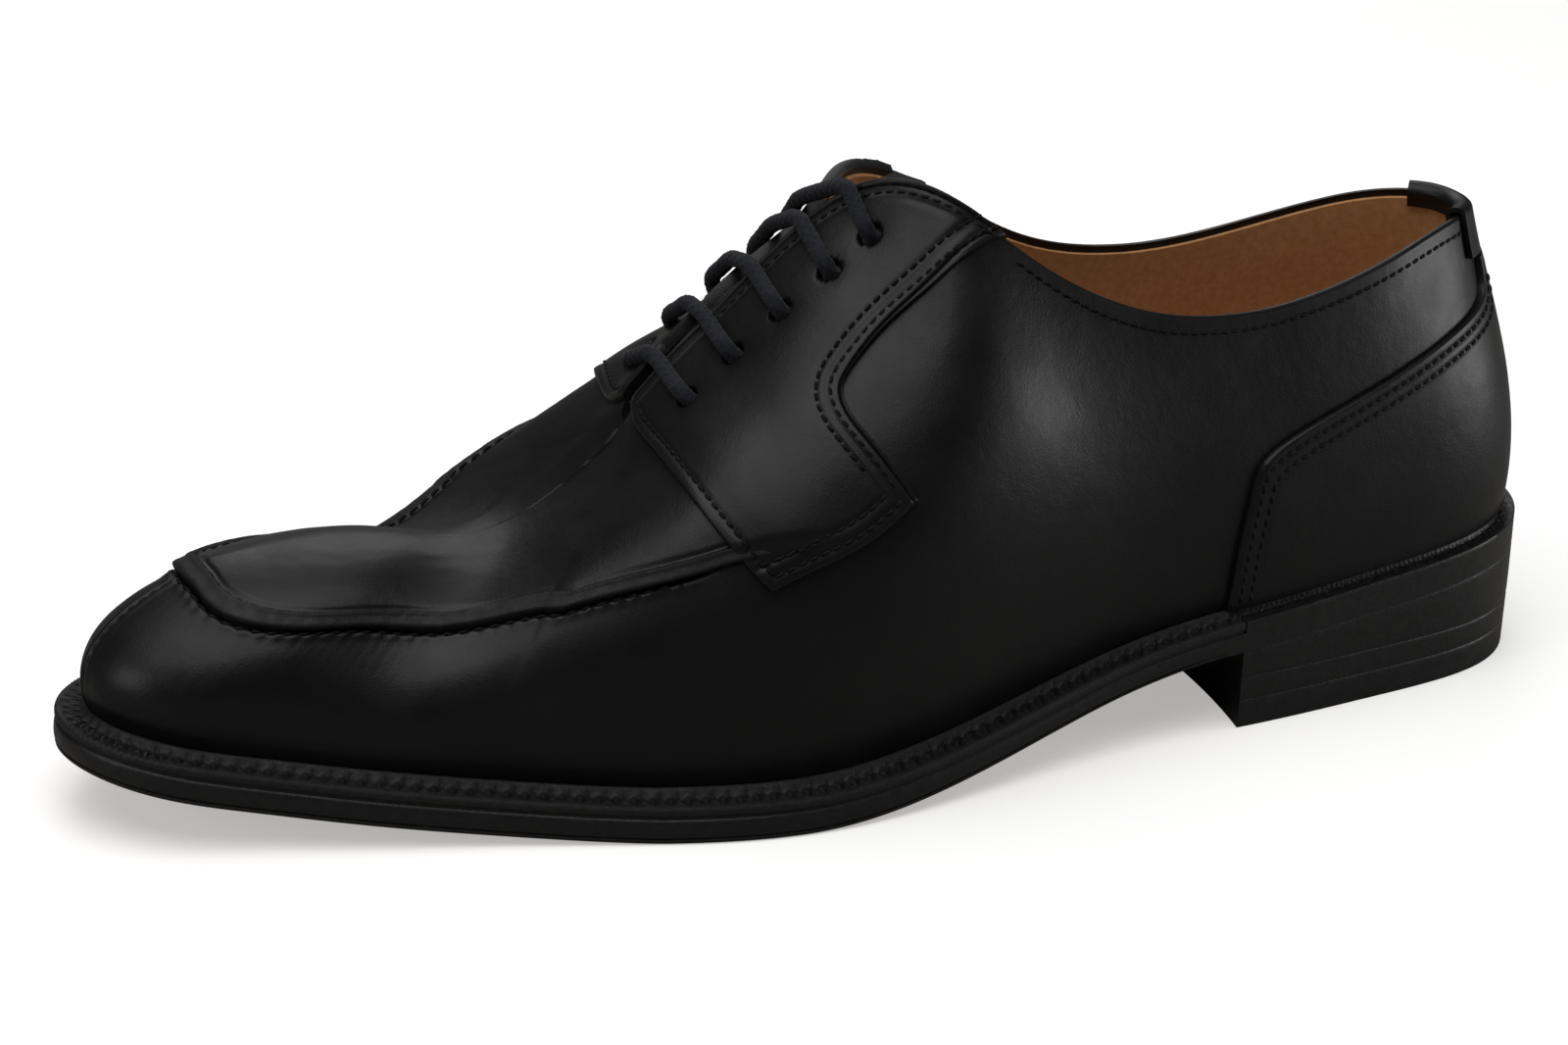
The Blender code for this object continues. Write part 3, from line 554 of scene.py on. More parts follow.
def add_mesh(name, points, faces, material, sharp=0.7):
    """A mesh object from points in the row frame and a list of faces."""
    mesh = bpy.data.meshes.new(name)
    mesh.from_pydata(np.asarray(points, float).reshape(-1, 3).tolist(), [], faces)
    mesh.validate()
    mesh.shade_smooth()
    if sharp:
        mesh.set_sharp_from_angle(angle=sharp)
    piece = bpy.data.objects.new(name, mesh)
    bpy.context.scene.collection.objects.link(piece)
    mesh.materials.append(material)
    return piece


def quads(index, closed=False):
    """Faces between neighbours of a grid of vertex numbers; welded ones make triangles."""
    if closed:
        index = np.concatenate((index, index[:1]))
    corners = np.stack((index[:-1, :-1], index[1:, :-1], index[1:, 1:], index[:-1, 1:]), -1)
    corners = corners.reshape(-1, 4)
    ordered = np.sort(corners, axis=1)
    whole = (np.diff(ordered, axis=1) > 0).all(axis=1)
    faces = corners[whole].tolist()
    for face in corners[~whole].tolist():
        face = list(dict.fromkeys(face))
        if len(face) > 2:
            faces.append(face)
    return faces


def boundary(faces):
    """Directed edges that only one face has."""
    edges = []
    for face in faces:
        edges += zip(face, face[1:] + face[:1])
    known = set(edges)
    return [edge for edge in edges if (edge[1], edge[0]) not in known]


def shell(name, high, low, material, closed=False, weld=None, sharp=0.7, band=None):
    """A closed body between two sheets. Its first columns may have their own material."""
    high, low = world(high), world(low)
    index = np.arange(high[..., 0].size).reshape(high.shape[:2])
    if weld is not None:
        index = weld(index)
    faces = quads(index, closed)
    count = index.size
    sides = [(end, start, start + count, end + count) for start, end in boundary(faces)]
    under = [[corner + count for corner in reversed(face)] for face in faces]
    points = np.concatenate((high.reshape(-1, 3), low.reshape(-1, 3)))
    piece = clean_piece(name, points, faces + under + sides, material, sharp)
    if band:
        columns, own_material = band
        piece.data.materials.append(own_material)
        width = high.shape[1]
        for polygon, face in zip(piece.data.polygons, faces + under + sides):
            if max(corner % width for corner in face) <= columns:
                polygon.material_index = 1
    return piece


def clean_piece(name, points, faces, material, sharp):
    """Drops points that no face uses, then makes the mesh."""
    used = np.zeros(len(points), bool)
    for face in faces:
        for corner in face:
            used[corner] = True
    number = np.cumsum(used) - 1
    faces = [[int(number[corner]) for corner in face] for face in faces]
    return add_mesh(name, points[used], faces, material, sharp)


def ridge_weld(places, start):
    """Makes both sides share the points of their last column, from this rib on."""

    def weld(index):
        index = index.copy()
        for row, place in enumerate(places):
            if TOE < place < AROUND - start:
                twin = int(np.argmin(np.abs(places - mirrored(place))))
                index[row, -1] = index[twin, -1]
        return index

    return weld


def rib_length(places):
    points = rib_point(np.asarray(places)[:, None], np.linspace(0, 1, 20)[None, :])
    return np.linalg.norm(np.diff(points, axis=1), axis=-1).sum(axis=1)


LENGTH_PLACES = np.linspace(0, AROUND, 281)
LENGTHS = rib_length(LENGTH_PLACES)
WALK = np.concatenate(
    (
        [0.0],
        np.cumsum(np.linalg.norm(np.diff(plan_point(LENGTH_PLACES, 0.0), axis=0), axis=1)),
    )
)


def length_at(place):
    """Length of a rib, read from a table."""
    return np.interp(np.asarray(place, float) % AROUND, LENGTH_PLACES, LENGTHS)


def walk_at(place):
    """Distance walked round the feather line to a place, in metres."""
    return np.interp(np.asarray(place, float) % AROUND, LENGTH_PLACES, WALK)


def ridge_drop(place, share):
    """How much the vamp's ridge is rounded off, so that both sides meet smoothly."""
    own = np.maximum(RIBS(place)[..., 1], 0.002)
    other = np.maximum(RIBS(mirrored(place))[..., 1], 0.002)
    mean = (own + other) / 2
    width = RIDGE_WIDTH * mean / own
    away = (1 - share) * length_at(place)
    depth = mean * RIDGE_WIDTH / 2 * np.clip(1 - away / width, 0, 1) ** 2
    return depth * smooth_step((rib_of(place) - 9.9) / 0.35)


def skin(place, share, lift):
    """A point above the dressed surface: the last with its ridge rounded off."""
    place, share, lift = np.broadcast_arrays(np.asarray(place, float), share, lift)
    return lifted(place, share, lift - ridge_drop(place, share))


def rounded(away, radius):
    """Loss of height near a cut edge that is this far away."""
    part = np.clip(1 - away / radius, 0, 1)
    return radius * (1 - np.sqrt(np.clip(1 - part**2, 0, 1)))


# Materials.
def new_material(name):
    material = bpy.data.materials.new(name)
    material.use_nodes = True
    tree = material.node_tree
    return tree, tree.nodes["Principled BSDF"], material


def link(tree, start, end):
    tree.links.new(start, end)


def node(tree, kind, **values):
    made = tree.nodes.new(kind)
    for name, value in values.items():
        if name in made.inputs:
            made.inputs[name].default_value = value
        else:
            setattr(made, name, value)
    return made


def place_of(tree):
    return tree.nodes.new("ShaderNodeTexCoord").outputs["Object"]


def noise(tree, scale, detail=3.0, rough=0.55, vector=None):
    made = node(tree, "ShaderNodeTexNoise", Scale=scale, Detail=detail, Roughness=rough)
    link(tree, vector or place_of(tree), made.inputs["Vector"])
    return made.outputs["Fac"]


def spread(tree, value, low, high, start=0.3, end=0.7):
    """The value's middle part, stretched to run from low to high."""
    made = node(tree, "ShaderNodeMapRange")
    made.inputs["From Min"].default_value = start
    made.inputs["From Max"].default_value = end
    made.inputs["To Min"].default_value = low
    made.inputs["To Max"].default_value = high
    link(tree, value, made.inputs["Value"])
    return made.outputs["Result"]


def colours(tree, value, first, second):
    ramp = tree.nodes.new("ShaderNodeValToRGB")
    ramp.color_ramp.elements[0].position = 0.3
    ramp.color_ramp.elements[1].position = 0.7
    ramp.color_ramp.elements[0].color = (*first, 1)
    ramp.color_ramp.elements[1].color = (*second, 1)
    link(tree, value, ramp.inputs["Fac"])
    return ramp.outputs["Color"]


def add_bump(tree, shader, height, distance, strength=1.0):
    bump = node(tree, "ShaderNodeBump", Strength=strength, Distance=distance)
    link(tree, height, bump.inputs["Height"])
    previous = shader.inputs["Normal"]
    if previous.is_linked:
        link(tree, previous.links[0].from_socket, bump.inputs["Normal"])
    link(tree, bump.outputs["Normal"], previous)


def cells(tree, scale, vector=None):
    made = node(tree, "ShaderNodeTexVoronoi", Scale=scale)
    made.feature = "DISTANCE_TO_EDGE"
    link(tree, vector or place_of(tree), made.inputs["Vector"])
    return made.outputs["Distance"]


def calf_material(name, first, second, rough_low, rough_high, grain, coat):
    tree, shader, material = new_material(name)
    link(tree, colours(tree, noise(tree, 55), first, second), shader.inputs["Base Color"])
    link(
        tree,
        spread(tree, noise(tree, 90, 4.0), rough_low, rough_high),
        shader.inputs["Roughness"],
    )
    shader.inputs["Coat Weight"].default_value = coat
    shader.inputs["Coat Roughness"].default_value = 0.22
    shader.inputs["Specular IOR Level"].default_value = 0.26
    add_bump(tree, shader, noise(tree, 240, 3.0), 0.00022, 0.5)
    add_bump(tree, shader, cells(tree, 1500), 0.00006, grain)
    add_bump(tree, shader, noise(tree, 3200, 2.0), 0.00003, grain)
    return material


def raw_material(name, first, second, rough, grain):
    tree, shader, material = new_material(name)
    link(tree, colours(tree, noise(tree, 700, 4.0), first, second), shader.inputs["Base Color"])
    link(tree, spread(tree, noise(tree, 400), rough - 0.1, rough + 0.1), shader.inputs["Roughness"])
    shader.inputs["Specular IOR Level"].default_value = 0.35
    add_bump(tree, shader, noise(tree, 1800, 4.0), 0.00012, grain)
    return material


def lace_material(name):
    tree, shader, material = new_material(name)
    fuzz = noise(tree, 2500, 3.0)
    link(
        tree,
        colours(tree, fuzz, (0.003, 0.0035, 0.006), (0.010, 0.0115, 0.018)),
        shader.inputs["Base Color"],
    )
    shader.inputs["Roughness"].default_value = 0.85
    shader.inputs["Sheen Weight"].default_value = 0.08
    shader.inputs["Sheen Roughness"].default_value = 0.5
    shader.inputs["Specular IOR Level"].default_value = 0.3
    add_bump(tree, shader, fuzz, 0.00015, 0.6)
    return material


def thread_material(name):
    tree, shader, material = new_material(name)
    wave = noise(tree, 3000, 2.0)
    link(
        tree,
        colours(tree, wave, (0.0015, 0.0015, 0.0015), (0.004, 0.004, 0.0042)),
        shader.inputs["Base Color"],
    )
    shader.inputs["Roughness"].default_value = 0.65
    shader.inputs["Specular IOR Level"].default_value = 0.18
    add_bump(tree, shader, wave, 0.0001, 0.5)
    return material


CALF = calf_material(
    "calf_black", (0.0028, 0.0028, 0.0032), (0.0052, 0.0050, 0.0052), 0.36, 0.50, 0.5, 0.08
)
RIM = raw_material("calf_raw_rim", (0.0045, 0.0045, 0.0045), (0.011, 0.0105, 0.0105), 0.62, 0.9)
EDGE = raw_material("edge_black", (0.006, 0.006, 0.0062), (0.012, 0.0115, 0.0115), 0.42, 0.6)
WELT = raw_material("welt_black", (0.005, 0.0045, 0.0045), (0.012, 0.0115, 0.011), 0.60, 0.9)
SOLE = raw_material("sole_tan", (0.26, 0.105, 0.045), (0.40, 0.18, 0.085), 0.62, 0.5)
LINING = raw_material("lining_tan", (0.44, 0.215, 0.085), (0.56, 0.30, 0.135), 0.50, 0.35)
SOCK = raw_material("sock_tan", (0.42, 0.20, 0.08), (0.55, 0.28, 0.12), 0.60, 0.4)
LACE = lace_material("lace_navy")
THREAD = thread_material("thread_black")


def put(piece, slot_name, *nodes):
    """Rides the piece on the shoe and hides the solids it stands for. Its slot_name is not used."""
    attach(piece, "root")
    if nodes:
        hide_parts(*nodes)
    return piece


# The camera, fitted to the photograph by its landmarks: angles in degrees, the lens in
# pixels of the photograph's width, and the point looked at with its distance.
VIEW_AZIMUTH = 65.5
VIEW_ELEVATION = 22.1
VIEW_ROLL = 1.84
LENS_PIXELS = 5092
PHOTO_WIDTH = 1600
SENSOR_WIDTH = 36
VIEW_CENTRE = (-0.0020, -0.0044, 0.0381)
VIEW_DISTANCE = 0.949
# The fit was made with this heel ledge, half length and pitch of the shoe.
FIT_LEDGE = 0.0030
FIT_HALF = 0.1515
FIT_PITCH = 0.0096
PITCH_CENTRE = -0.0385


def fit_to_row():
    """Turns the camera fit's frame into the row frame."""
    along = MIDDLE[0] - FIT_HALF - (FEATHER(0.0)[2] - FIT_LEDGE)
    move = Matrix.Translation((-MIDDLE[1], along, 0))
    centre = Matrix.Translation((0, PITCH_CENTRE, 0))
    return centre @ Matrix.Rotation(FIT_PITCH, 4, "X") @ centre.inverted() @ move


def add_camera():
    azimuth, elevation = math.radians(VIEW_AZIMUTH), math.radians(VIEW_ELEVATION)
    roll = math.radians(VIEW_ROLL)
    back = Vector(
        (
            math.sin(azimuth) * math.cos(elevation),
            -math.cos(azimuth) * math.cos(elevation),
            math.sin(elevation),
        )
    )
    right = (-back).cross(Vector((0, 0, 1))).normalized()
    up = right.cross(-back).normalized()
    turned = right * math.cos(roll) + up * math.sin(roll)
    upright = -right * math.sin(roll) + up * math.cos(roll)
    camera = bpy.data.objects.new("camera", bpy.data.cameras.new("camera"))
    bpy.context.scene.collection.objects.link(camera)
    camera.data.lens = SENSOR_WIDTH * LENS_PIXELS / PHOTO_WIDTH
    camera.data.sensor_width = SENSOR_WIDTH
    camera.data.clip_start = 0.05
    camera.data.clip_end = 20
    matrix = Matrix((turned, upright, back)).transposed().to_4x4()
    matrix.translation = Vector(VIEW_CENTRE) + back * VIEW_DISTANCE
    camera.matrix_world = fit_to_row() @ matrix
    bpy.context.scene.camera = camera


def add_light(name, place, target, size, power):
    data = bpy.data.lights.new(name, "AREA")
    data.shape = "SQUARE"
    data.size = size
    data.energy = power
    light = bpy.data.objects.new(name, data)
    bpy.context.scene.collection.objects.link(light)
    light.location = place
    light.rotation_euler = (Vector(target) - Vector(place)).to_track_quat("-Z", "Y").to_euler()


def add_stage():
    """A pale floor that meets a white surround without an edge."""
    tree, shader, material = new_material("pale_floor")
    link(
        tree,
        colours(tree, noise(tree, 6), (0.86, 0.86, 0.865), (0.89, 0.89, 0.89)),
        shader.inputs["Base Color"],
    )
    shader.inputs["Roughness"].default_value = 0.9
    shader.inputs["Specular IOR Level"].default_value = 0.1
    shader.inputs["Emission Color"].default_value = (1.0, 0.985, 0.97, 1)
    shader.inputs["Emission Strength"].default_value = 0.42
    # The shoe sees a darker floor than the camera does.
    dim = node(tree, "ShaderNodeBsdfDiffuse", Color=(0.31, 0.295, 0.28, 1))
    path = tree.nodes.new("ShaderNodeLightPath")
    mix = tree.nodes.new("ShaderNodeMixShader")
    link(tree, path.outputs["Is Camera Ray"], mix.inputs["Fac"])
    link(tree, dim.outputs["BSDF"], mix.inputs[1])
    link(tree, shader.outputs["BSDF"], mix.inputs[2])
    link(tree, mix.outputs["Shader"], tree.nodes["Material Output"].inputs["Surface"])
    half = 3.0
    corners = [(-half, -half, 0), (half, -half, 0), (half, half, 0), (-half, half, 0)]
    floor = add_mesh("floor", corners, [[0, 1, 2, 3]], material, None)

    surround = bpy.data.worlds.new("surround")
    bpy.context.scene.world = surround
    surround.use_nodes = True
    nodes = surround.node_tree.nodes
    nodes["Background"].inputs["Color"].default_value = (1, 1, 1, 1)
    nodes["Background"].inputs["Strength"].default_value = 0.06
    seen = nodes.new("ShaderNodeBackground")
    seen.inputs["Color"].default_value = (1, 1, 1, 1)
    seen.inputs["Strength"].default_value = 1.05
    mix = nodes.new("ShaderNodeMixShader")
    path = nodes.new("ShaderNodeLightPath")
    links = surround.node_tree.links
    links.new(path.outputs["Is Camera Ray"], mix.inputs["Fac"])
    links.new(nodes["Background"].outputs["Background"], mix.inputs[1])
    links.new(seen.outputs["Background"], mix.inputs[2])
    links.new(mix.outputs["Shader"], nodes["World Output"].inputs["Surface"])


LIGHT_ROWS = (
    # name, place, what it faces, side in metres, watts
    ("overhead", (0.25, -0.25, 1.25), (0, 0, 0), 1.35, 13),
    ("behind", (-1.1, 0.35, 0.95), (0, 0, 0.03), 0.9, 4),
    ("front_left", (0.2, -1.4, 0.55), (0, -0.02, 0.03), 0.6, 3),
    ("heel_side", (0.22, 0.80, 0.08), (0.03, 0.12, 0.03), 0.30, 1.8),
)


# Fine skins.
def dense_places():
    """Rib places of the fine skins, closest together over the forepart."""
    heel = np.linspace(0, 4.4, 66, endpoint=False)
    quarter = np.linspace(4.4, 8.0, 44, endpoint=False)
    vamp = np.linspace(8.0, TOE, 176)
    ribs = np.concatenate((heel, quarter, vamp))
    return np.concatenate((ribs, mirrored(ribs[::-1][1:])))[:-1]


def smooth_line(rows):
    """A smooth line through table rows, as many points."""
    return open_spline(rows)(np.linspace(0, 1, 900))


# The seam's table runs on past the toe, so that its line crosses the toe square.
SEAM_ROWS = list(APRON_ROWS)
SEAM_ROWS += [(2 * TOE - place, share) for place, share in SEAM_ROWS[-2:-4:-1]]
SEAM_LINE = smooth_line(SEAM_ROWS)


def seam_share(place):
    """Share of the apron seam at a place."""
    return np.interp(rib_of(place), SEAM_LINE[:, 0], SEAM_LINE[:, 1])


def front_place(share):
    """Place of the facing's front edge at a share."""
    rows = np.array(FACING_FRONT_ROWS)
    return np.interp(share, rows[:, 1], rows[:, 0])


def behind_facing(place, share):
    """Rough distance behind the facing's front edge, negative in front of it."""
    return (front_place(share) - rib_of(place)) * METRES_PER_RIB


def seam_away(place, share):
    """Metres above the apron seam, negative below it."""
    return (share - seam_share(place)) * length_at(place)


def vamp_relief(place, share):
    """Puckers below the apron seam, the toe seam and slight waves of the leather."""
    rib = rib_of(place)
    away = seam_away(place, share)
    walk = walk_at(place)
    front = smooth_step((rib - 8.6) / 0.3)
    below = np.clip(-away, 0, None)
    # Gathered edge just below the seam.
    lip = 0.00034 * np.exp(-(((below - 0.0012) / 0.0011) ** 2))
    pucker = 0.5 + 0.5 * np.cos(2 * np.pi * walk / 0.0029 + 2.0 * value_noise(walk * 90, 0.3, 2))
    lip = lip * (0.55 + 0.75 * pucker)
    # Fine pleats that run down from it.
    pleat = np.cos(2 * np.pi * walk / 0.0021 + 5 * value_noise(walk * 60, below * 90, 3))
    fade = np.exp(-below / 0.010) * smooth_step(below / 0.002)
    pleats = 0.00005 * pleat * fade * value_noise(walk * 45, below * 40, 5)
    groove = -0.0011 * np.exp(-((away / 0.0007) ** 2))
    relief = (lip + pleats + groove) * front * (away < 0.004)
    # The split toe's seam, down from the apron to the welt.
    side = (place - TOE) * 0.021
    toe_seam = -0.00075 * np.exp(-((side / 0.00045) ** 2)) + 0.00030 * np.exp(
        -(((np.abs(side) - 0.0013) / 0.0009) ** 2)
    )
    relief = relief + toe_seam * smooth_step(-away / 0.001) * smooth_step((rib - 13) / 0.4)
    waves = 0.00018 * (value_noise(walk * 45, share * 6, 7) - 0.5)
    return relief + waves


def build_upper():
    places = dense_places()
    low = np.array((0.0, 0.004, 0.012, 0.024))
    main = np.linspace(0.04, 0.975, 76)
    top = np.array((0.982, 0.988, 0.993, 0.997, 1.0))
    base_shares = np.concatenate((low, main, top))
    # Rows crowd round the apron seam over the forepart.
    rib = rib_of(places)[:, None]
    seam = seam_share(places)[:, None]
    crowd = smooth_step((rib - 8.0) / 1.0)
    shift = 0.55 * (seam - base_shares) * np.exp(-(((base_shares - seam) / 0.10) ** 2))
    shares = base_shares + shift * crowd
    rows_places = np.broadcast_to(places[:, None], shares.shape)
    lift = vamp_relief(rows_places, shares)
    away = (1 - shares) * length_at(places)[:, None]
    open_edge = 1 - smooth_step((rib - 9.9) / 0.3)
    lift = lift - rounded(away, 0.0007) * open_edge
    high = skin(rows_places, shares, lift)
    base = skin(rows_places, shares, -SKIN_THICK)
    weld = ridge_weld(places, THROAT_RIB)
    piece = shell("vamp_and_quarters", high, base, CALF, True, weld, 0.9)
    return put(piece, "calf_black", "upper")


def build_lining():
    places = dense_places()[::2]
    shares = np.concatenate((np.linspace(0, 0.97, 44), (0.985, 0.994, 1.0)))
    open_edge = 1 - smooth_step((rib_of(places) - 9.6) / 0.3)
    top = 1 - LINING_DROP * open_edge / length_at(places)
    shares = shares[None, :] * top[:, None]
    grid = np.broadcast_to(places[:, None], shares.shape)
    walk = walk_at(grid)
    waves = 0.0002 * (value_noise(walk * 60, shares * 9, 11) - 0.5)
    high = skin(grid, shares, -SKIN_THICK - 0.00003)
    base = skin(grid, shares, -UPPER_WALL + waves)
    piece = shell("lining", high, base, LINING, True, ridge_weld(places, THROAT_RIB), 0.9)
    return put(piece, "lining_tan")


# Distances from the apron's edge at which its rim has points.
RIM_STEPS = np.array(
    (0, 0.0001, 0.0003, 0.0006, 0.0010, 0.0015, 0.0020, 0.0024, 0.0028, 0.0031, 0.0034, 0.0038, 0.0044)
)
RIM_COLUMNS = 10


def build_apron():
    ribs = np.linspace(8.25, TOE, 232)
    places = np.concatenate((ribs, mirrored(ribs[::-1][1:])))
    rib = rib_of(places)
    length = length_at(places)
    seam = seam_share(places)
    front = np.array(FACING_FRONT_ROWS)
    tucked = np.interp(rib + 0.55, front[:, 0], front[:, 1], left=0.42, right=1.0)
    end = np.clip(tucked, seam + 0.02, np.interp(rib, (9.4, 9.99), (0.95, 1.0)))
    room = ((end - seam) * length)[:, None]
    edge = np.minimum(RIM_STEPS, room * np.linspace(0, 0.6, len(RIM_STEPS)))
    inner = seam[:, None] + edge / length[:, None]
    part = np.linspace(0, 1, 52)[None, 1:]
    field = inner[:, -1:] + (end[:, None] - inner[:, -1:]) * part
    shares = np.concatenate((inner, field), axis=1)
    grid = np.broadcast_to(places[:, None], shares.shape)
    away = (shares - seam[:, None]) * length[:, None]
    walk = walk_at(grid)
    rim = 1 - smooth_step((away - 0.0030) / 0.0009)
    rough = value_noise(walk * 900, away * 900, 3) - 0.5
    lift = SEAM_LIFT - 0.0004 + rim * (0.0008 + 0.00012 * rough)
    lift = lift - rounded(away, 0.0006)
    lift = lift + 0.00035 * np.exp(-(((away - 0.0030) / 0.0005) ** 2))
    lift = lift - 0.00035 * np.exp(-(((away - 0.0042) / 0.0006) ** 2))
    grain = 0.00008 * (value_noise(walk * 160, away * 420, 9) - 0.5)
    lift = lift + grain * (1 - rim)
    tuck = smooth_step((behind_facing(grid, shares) - 0.003) / 0.005)
    lift = lift * (1 - tuck) - 0.0004 * tuck
    high = skin(grid, shares, lift)
    base = skin(grid, shares, np.full(shares.shape, -0.0006))
    weld = ridge_weld(places, THROAT_RIB - 0.01)
    piece = shell("apron_panel", high, base, CALF, False, weld, 0.9, (RIM_COLUMNS, RIM))
    return put(piece, "calf_black", "apron")


def polyline_away(points, line):
    """Distance of each point from a polyline, all in metres."""
    nearest = np.full(points.shape[:-1], 1e9)
    for start, end in zip(line[:-1], line[1:]):
        run = end - start
        part = np.clip((points - start) @ run / (run @ run + 1e-18), 0, 1)
        gap = np.linalg.norm(points - (start + part[..., None] * run), axis=-1)
        nearest = np.minimum(nearest, gap)
    return nearest


def facing_grid(columns, rows):
    """Places and shares over a lace facing, blended from its four edges."""
    across = np.linspace(0, 1, columns)
    upward = np.linspace(0, 1, rows)
    front = open_spline(FACING_FRONT_ROWS)(upward)
    back = open_spline(FACING_BACK_ROWS)(upward)
    foot = open_spline(FACING_FOOT_ROWS)(across)
    top = open_spline((FACING_FRONT_ROWS[-1], FACING_BACK_ROWS[-1]))(across)
    u = upward[:, None, None]
    v = across[None, :, None]
    sides = front[:, None] * (1 - v) + back[:, None] * v
    ends = foot[None, :] * (1 - u) + top[None, :] * u
    corners = (
        foot[0] * (1 - u) * (1 - v)
        + foot[-1] * (1 - u) * v
        + top[0] * u * (1 - v)
        + top[-1] * u * v
    )
    grid = sides + ends - corners
    return grid[..., 0], np.clip(grid[..., 1], 0, 1)


def side_of(place, side):
    return place if side > 0 else mirrored(place)


def overlay_border(places, shares):
    """The closed outline of a grid, as points on the last."""
    ring = np.concatenate(
        (
            np.stack((places[0], shares[0]), -1),
            np.stack((places[1:, -1], shares[1:, -1]), -1),
            np.stack((places[-1, -2::-1], shares[-1, -2::-1]), -1),
            np.stack((places[-2::-1, 0], shares[-2::-1, 0]), -1),
        )
    )
    return rib_point(ring[:, 0], ring[:, 1])


def eyelet(number, side):
    place, share = EYELET_ROWS[number]
    return (place if side > 0 else float(mirrored(place))), share


def build_facing(name, side):
    places, shares = facing_grid(150, 170)
    places = side_of(places, side)
    flat = rib_point(places, shares)
    border = polyline_away(flat, overlay_border(places[::5, ::5], shares[::5, ::5]))
    border[0] = border[-1] = border[:, 0] = border[:, -1] = 0
    ahead = 1 - smooth_step((behind_facing(places, shares) - 0.005) / 0.012)
    on_apron = smooth_step((shares - seam_share(places) + 0.01) / 0.05)
    lift = SEAM_LIFT + FACING_STEP * ahead * on_apron - rounded(border, 0.0006)
    # Dimples and punched holes at the eyelets.
    for number in range(len(EYELET_ROWS)):
        place, share = eyelet(number, side)
        gap = np.linalg.norm(flat - rib_point(place, share), axis=-1)
        lift = lift - 0.00035 * np.exp(-((gap / 0.0032) ** 2))
        lift = lift - 0.0030 * smooth_step((0.00225 - gap) / 0.0009)
    # Channels under the stitch rows.
    double = np.concatenate((flat[0, ::4], flat[::4, -1]))
    lift = lift - 0.00020 * np.exp(-(((border - 0.0023) / 0.0006) ** 2))
    second = polyline_away(flat, double)
    lift = lift - 0.00020 * np.exp(-(((second - 0.0048) / 0.0006) ** 2))
    walk = walk_at(places)
    lift = lift + 0.00014 * (value_noise(walk * 70, shares * 9, 13) - 0.5)
    high = skin(places, shares, lift)
    base = skin(places, shares, np.minimum(lift - 0.0017, 0.0))
    piece = shell(name + "_leather", high, base, CALF, False, None, 0.9)
    return put(piece, "calf_black", name)


def counter_line():
    """The counter's front edge as shares and places, its corner rounded."""
    line = smooth_line(COUNTER_ROWS)
    shares = np.linspace(0, 1, 400)
    reach = np.interp(shares, line[:, 0], line[:, 1])
    half = 30
    window = np.hanning(2 * half + 1)
    padded = np.pad(reach, half, mode="edge")
    return np.stack((shares, np.convolve(padded, window / window.sum(), "valid")), -1)


def build_counter():
    top = 1 - (COLLAR_TAB_DROP + 2 * FIT_GAP) / float(length_at(0.0))
    line = counter_line()
    wall = np.linspace(0, 0.5, 40, endpoint=False)
    corner = np.linspace(0.5, 0.8, 58, endpoint=False)
    upward = np.concatenate((wall, corner, np.linspace(0.8, top, 14)))
    reach = np.interp(upward, line[:, 0], line[:, 1])
    places = reach[:, None] * np.linspace(-1, 1, 205)[None, :]
    shares = np.broadcast_to(upward[:, None], places.shape)
    flat = rib_point(places, shares)
    ring = np.concatenate((flat[:, -1], flat[::-1, 0]))
    border = polyline_away(flat, ring[::2])
    border[:, 0] = border[:, -1] = 0
    border[0] = border[1]
    walk = walk_at(places)
    lift = SEAM_LIFT - rounded(border, 0.0006)
    for inset in ROW_INSETS:
        lift = lift - 0.00018 * np.exp(-(((border - inset) / 0.0006) ** 2))
    lift = lift + 0.00016 * (value_noise(walk * 50, shares * 7, 15) - 0.5)
    high = skin(places, shares, lift)
    base = skin(places, shares, np.full(places.shape, -0.0001))
    piece = shell("counter_leather", high, base, CALF, False, None, 0.9)
    return put(piece, "calf_black", "heel_counter")


# Bottom.
def ring_piece(name, places, outs, heights, material):
    """A solid swept along the sole's edge: each place has a loop of (out, height) points."""
    plan = plan_point(places[:, None], outs)
    points = world(with_height(plan, heights))
    rows, columns = outs.shape
    index = np.arange(rows * columns).reshape(rows, columns)
    index = np.concatenate((index, index[:, :1]), axis=1)
    faces = quads(index)
    faces.append(index[0, :-1].tolist())
    faces.append(index[-1, -2::-1].tolist())
    return clean_piece(name, points.reshape(-1, 3), faces, material, 0.7)


def even_places(start, end, step):
    """Places from start to end, this far apart along the feather line."""
    fine = np.linspace(start, end, 4000)
    run = np.linalg.norm(np.diff(sole_edge(fine), axis=0), axis=1)
    walked = np.concatenate(([0], np.cumsum(run)))
    count = int(walked[-1] / step) + 1
    return np.interp(np.linspace(0, walked[-1], count), walked, fine), walked[-1] / (count - 1)


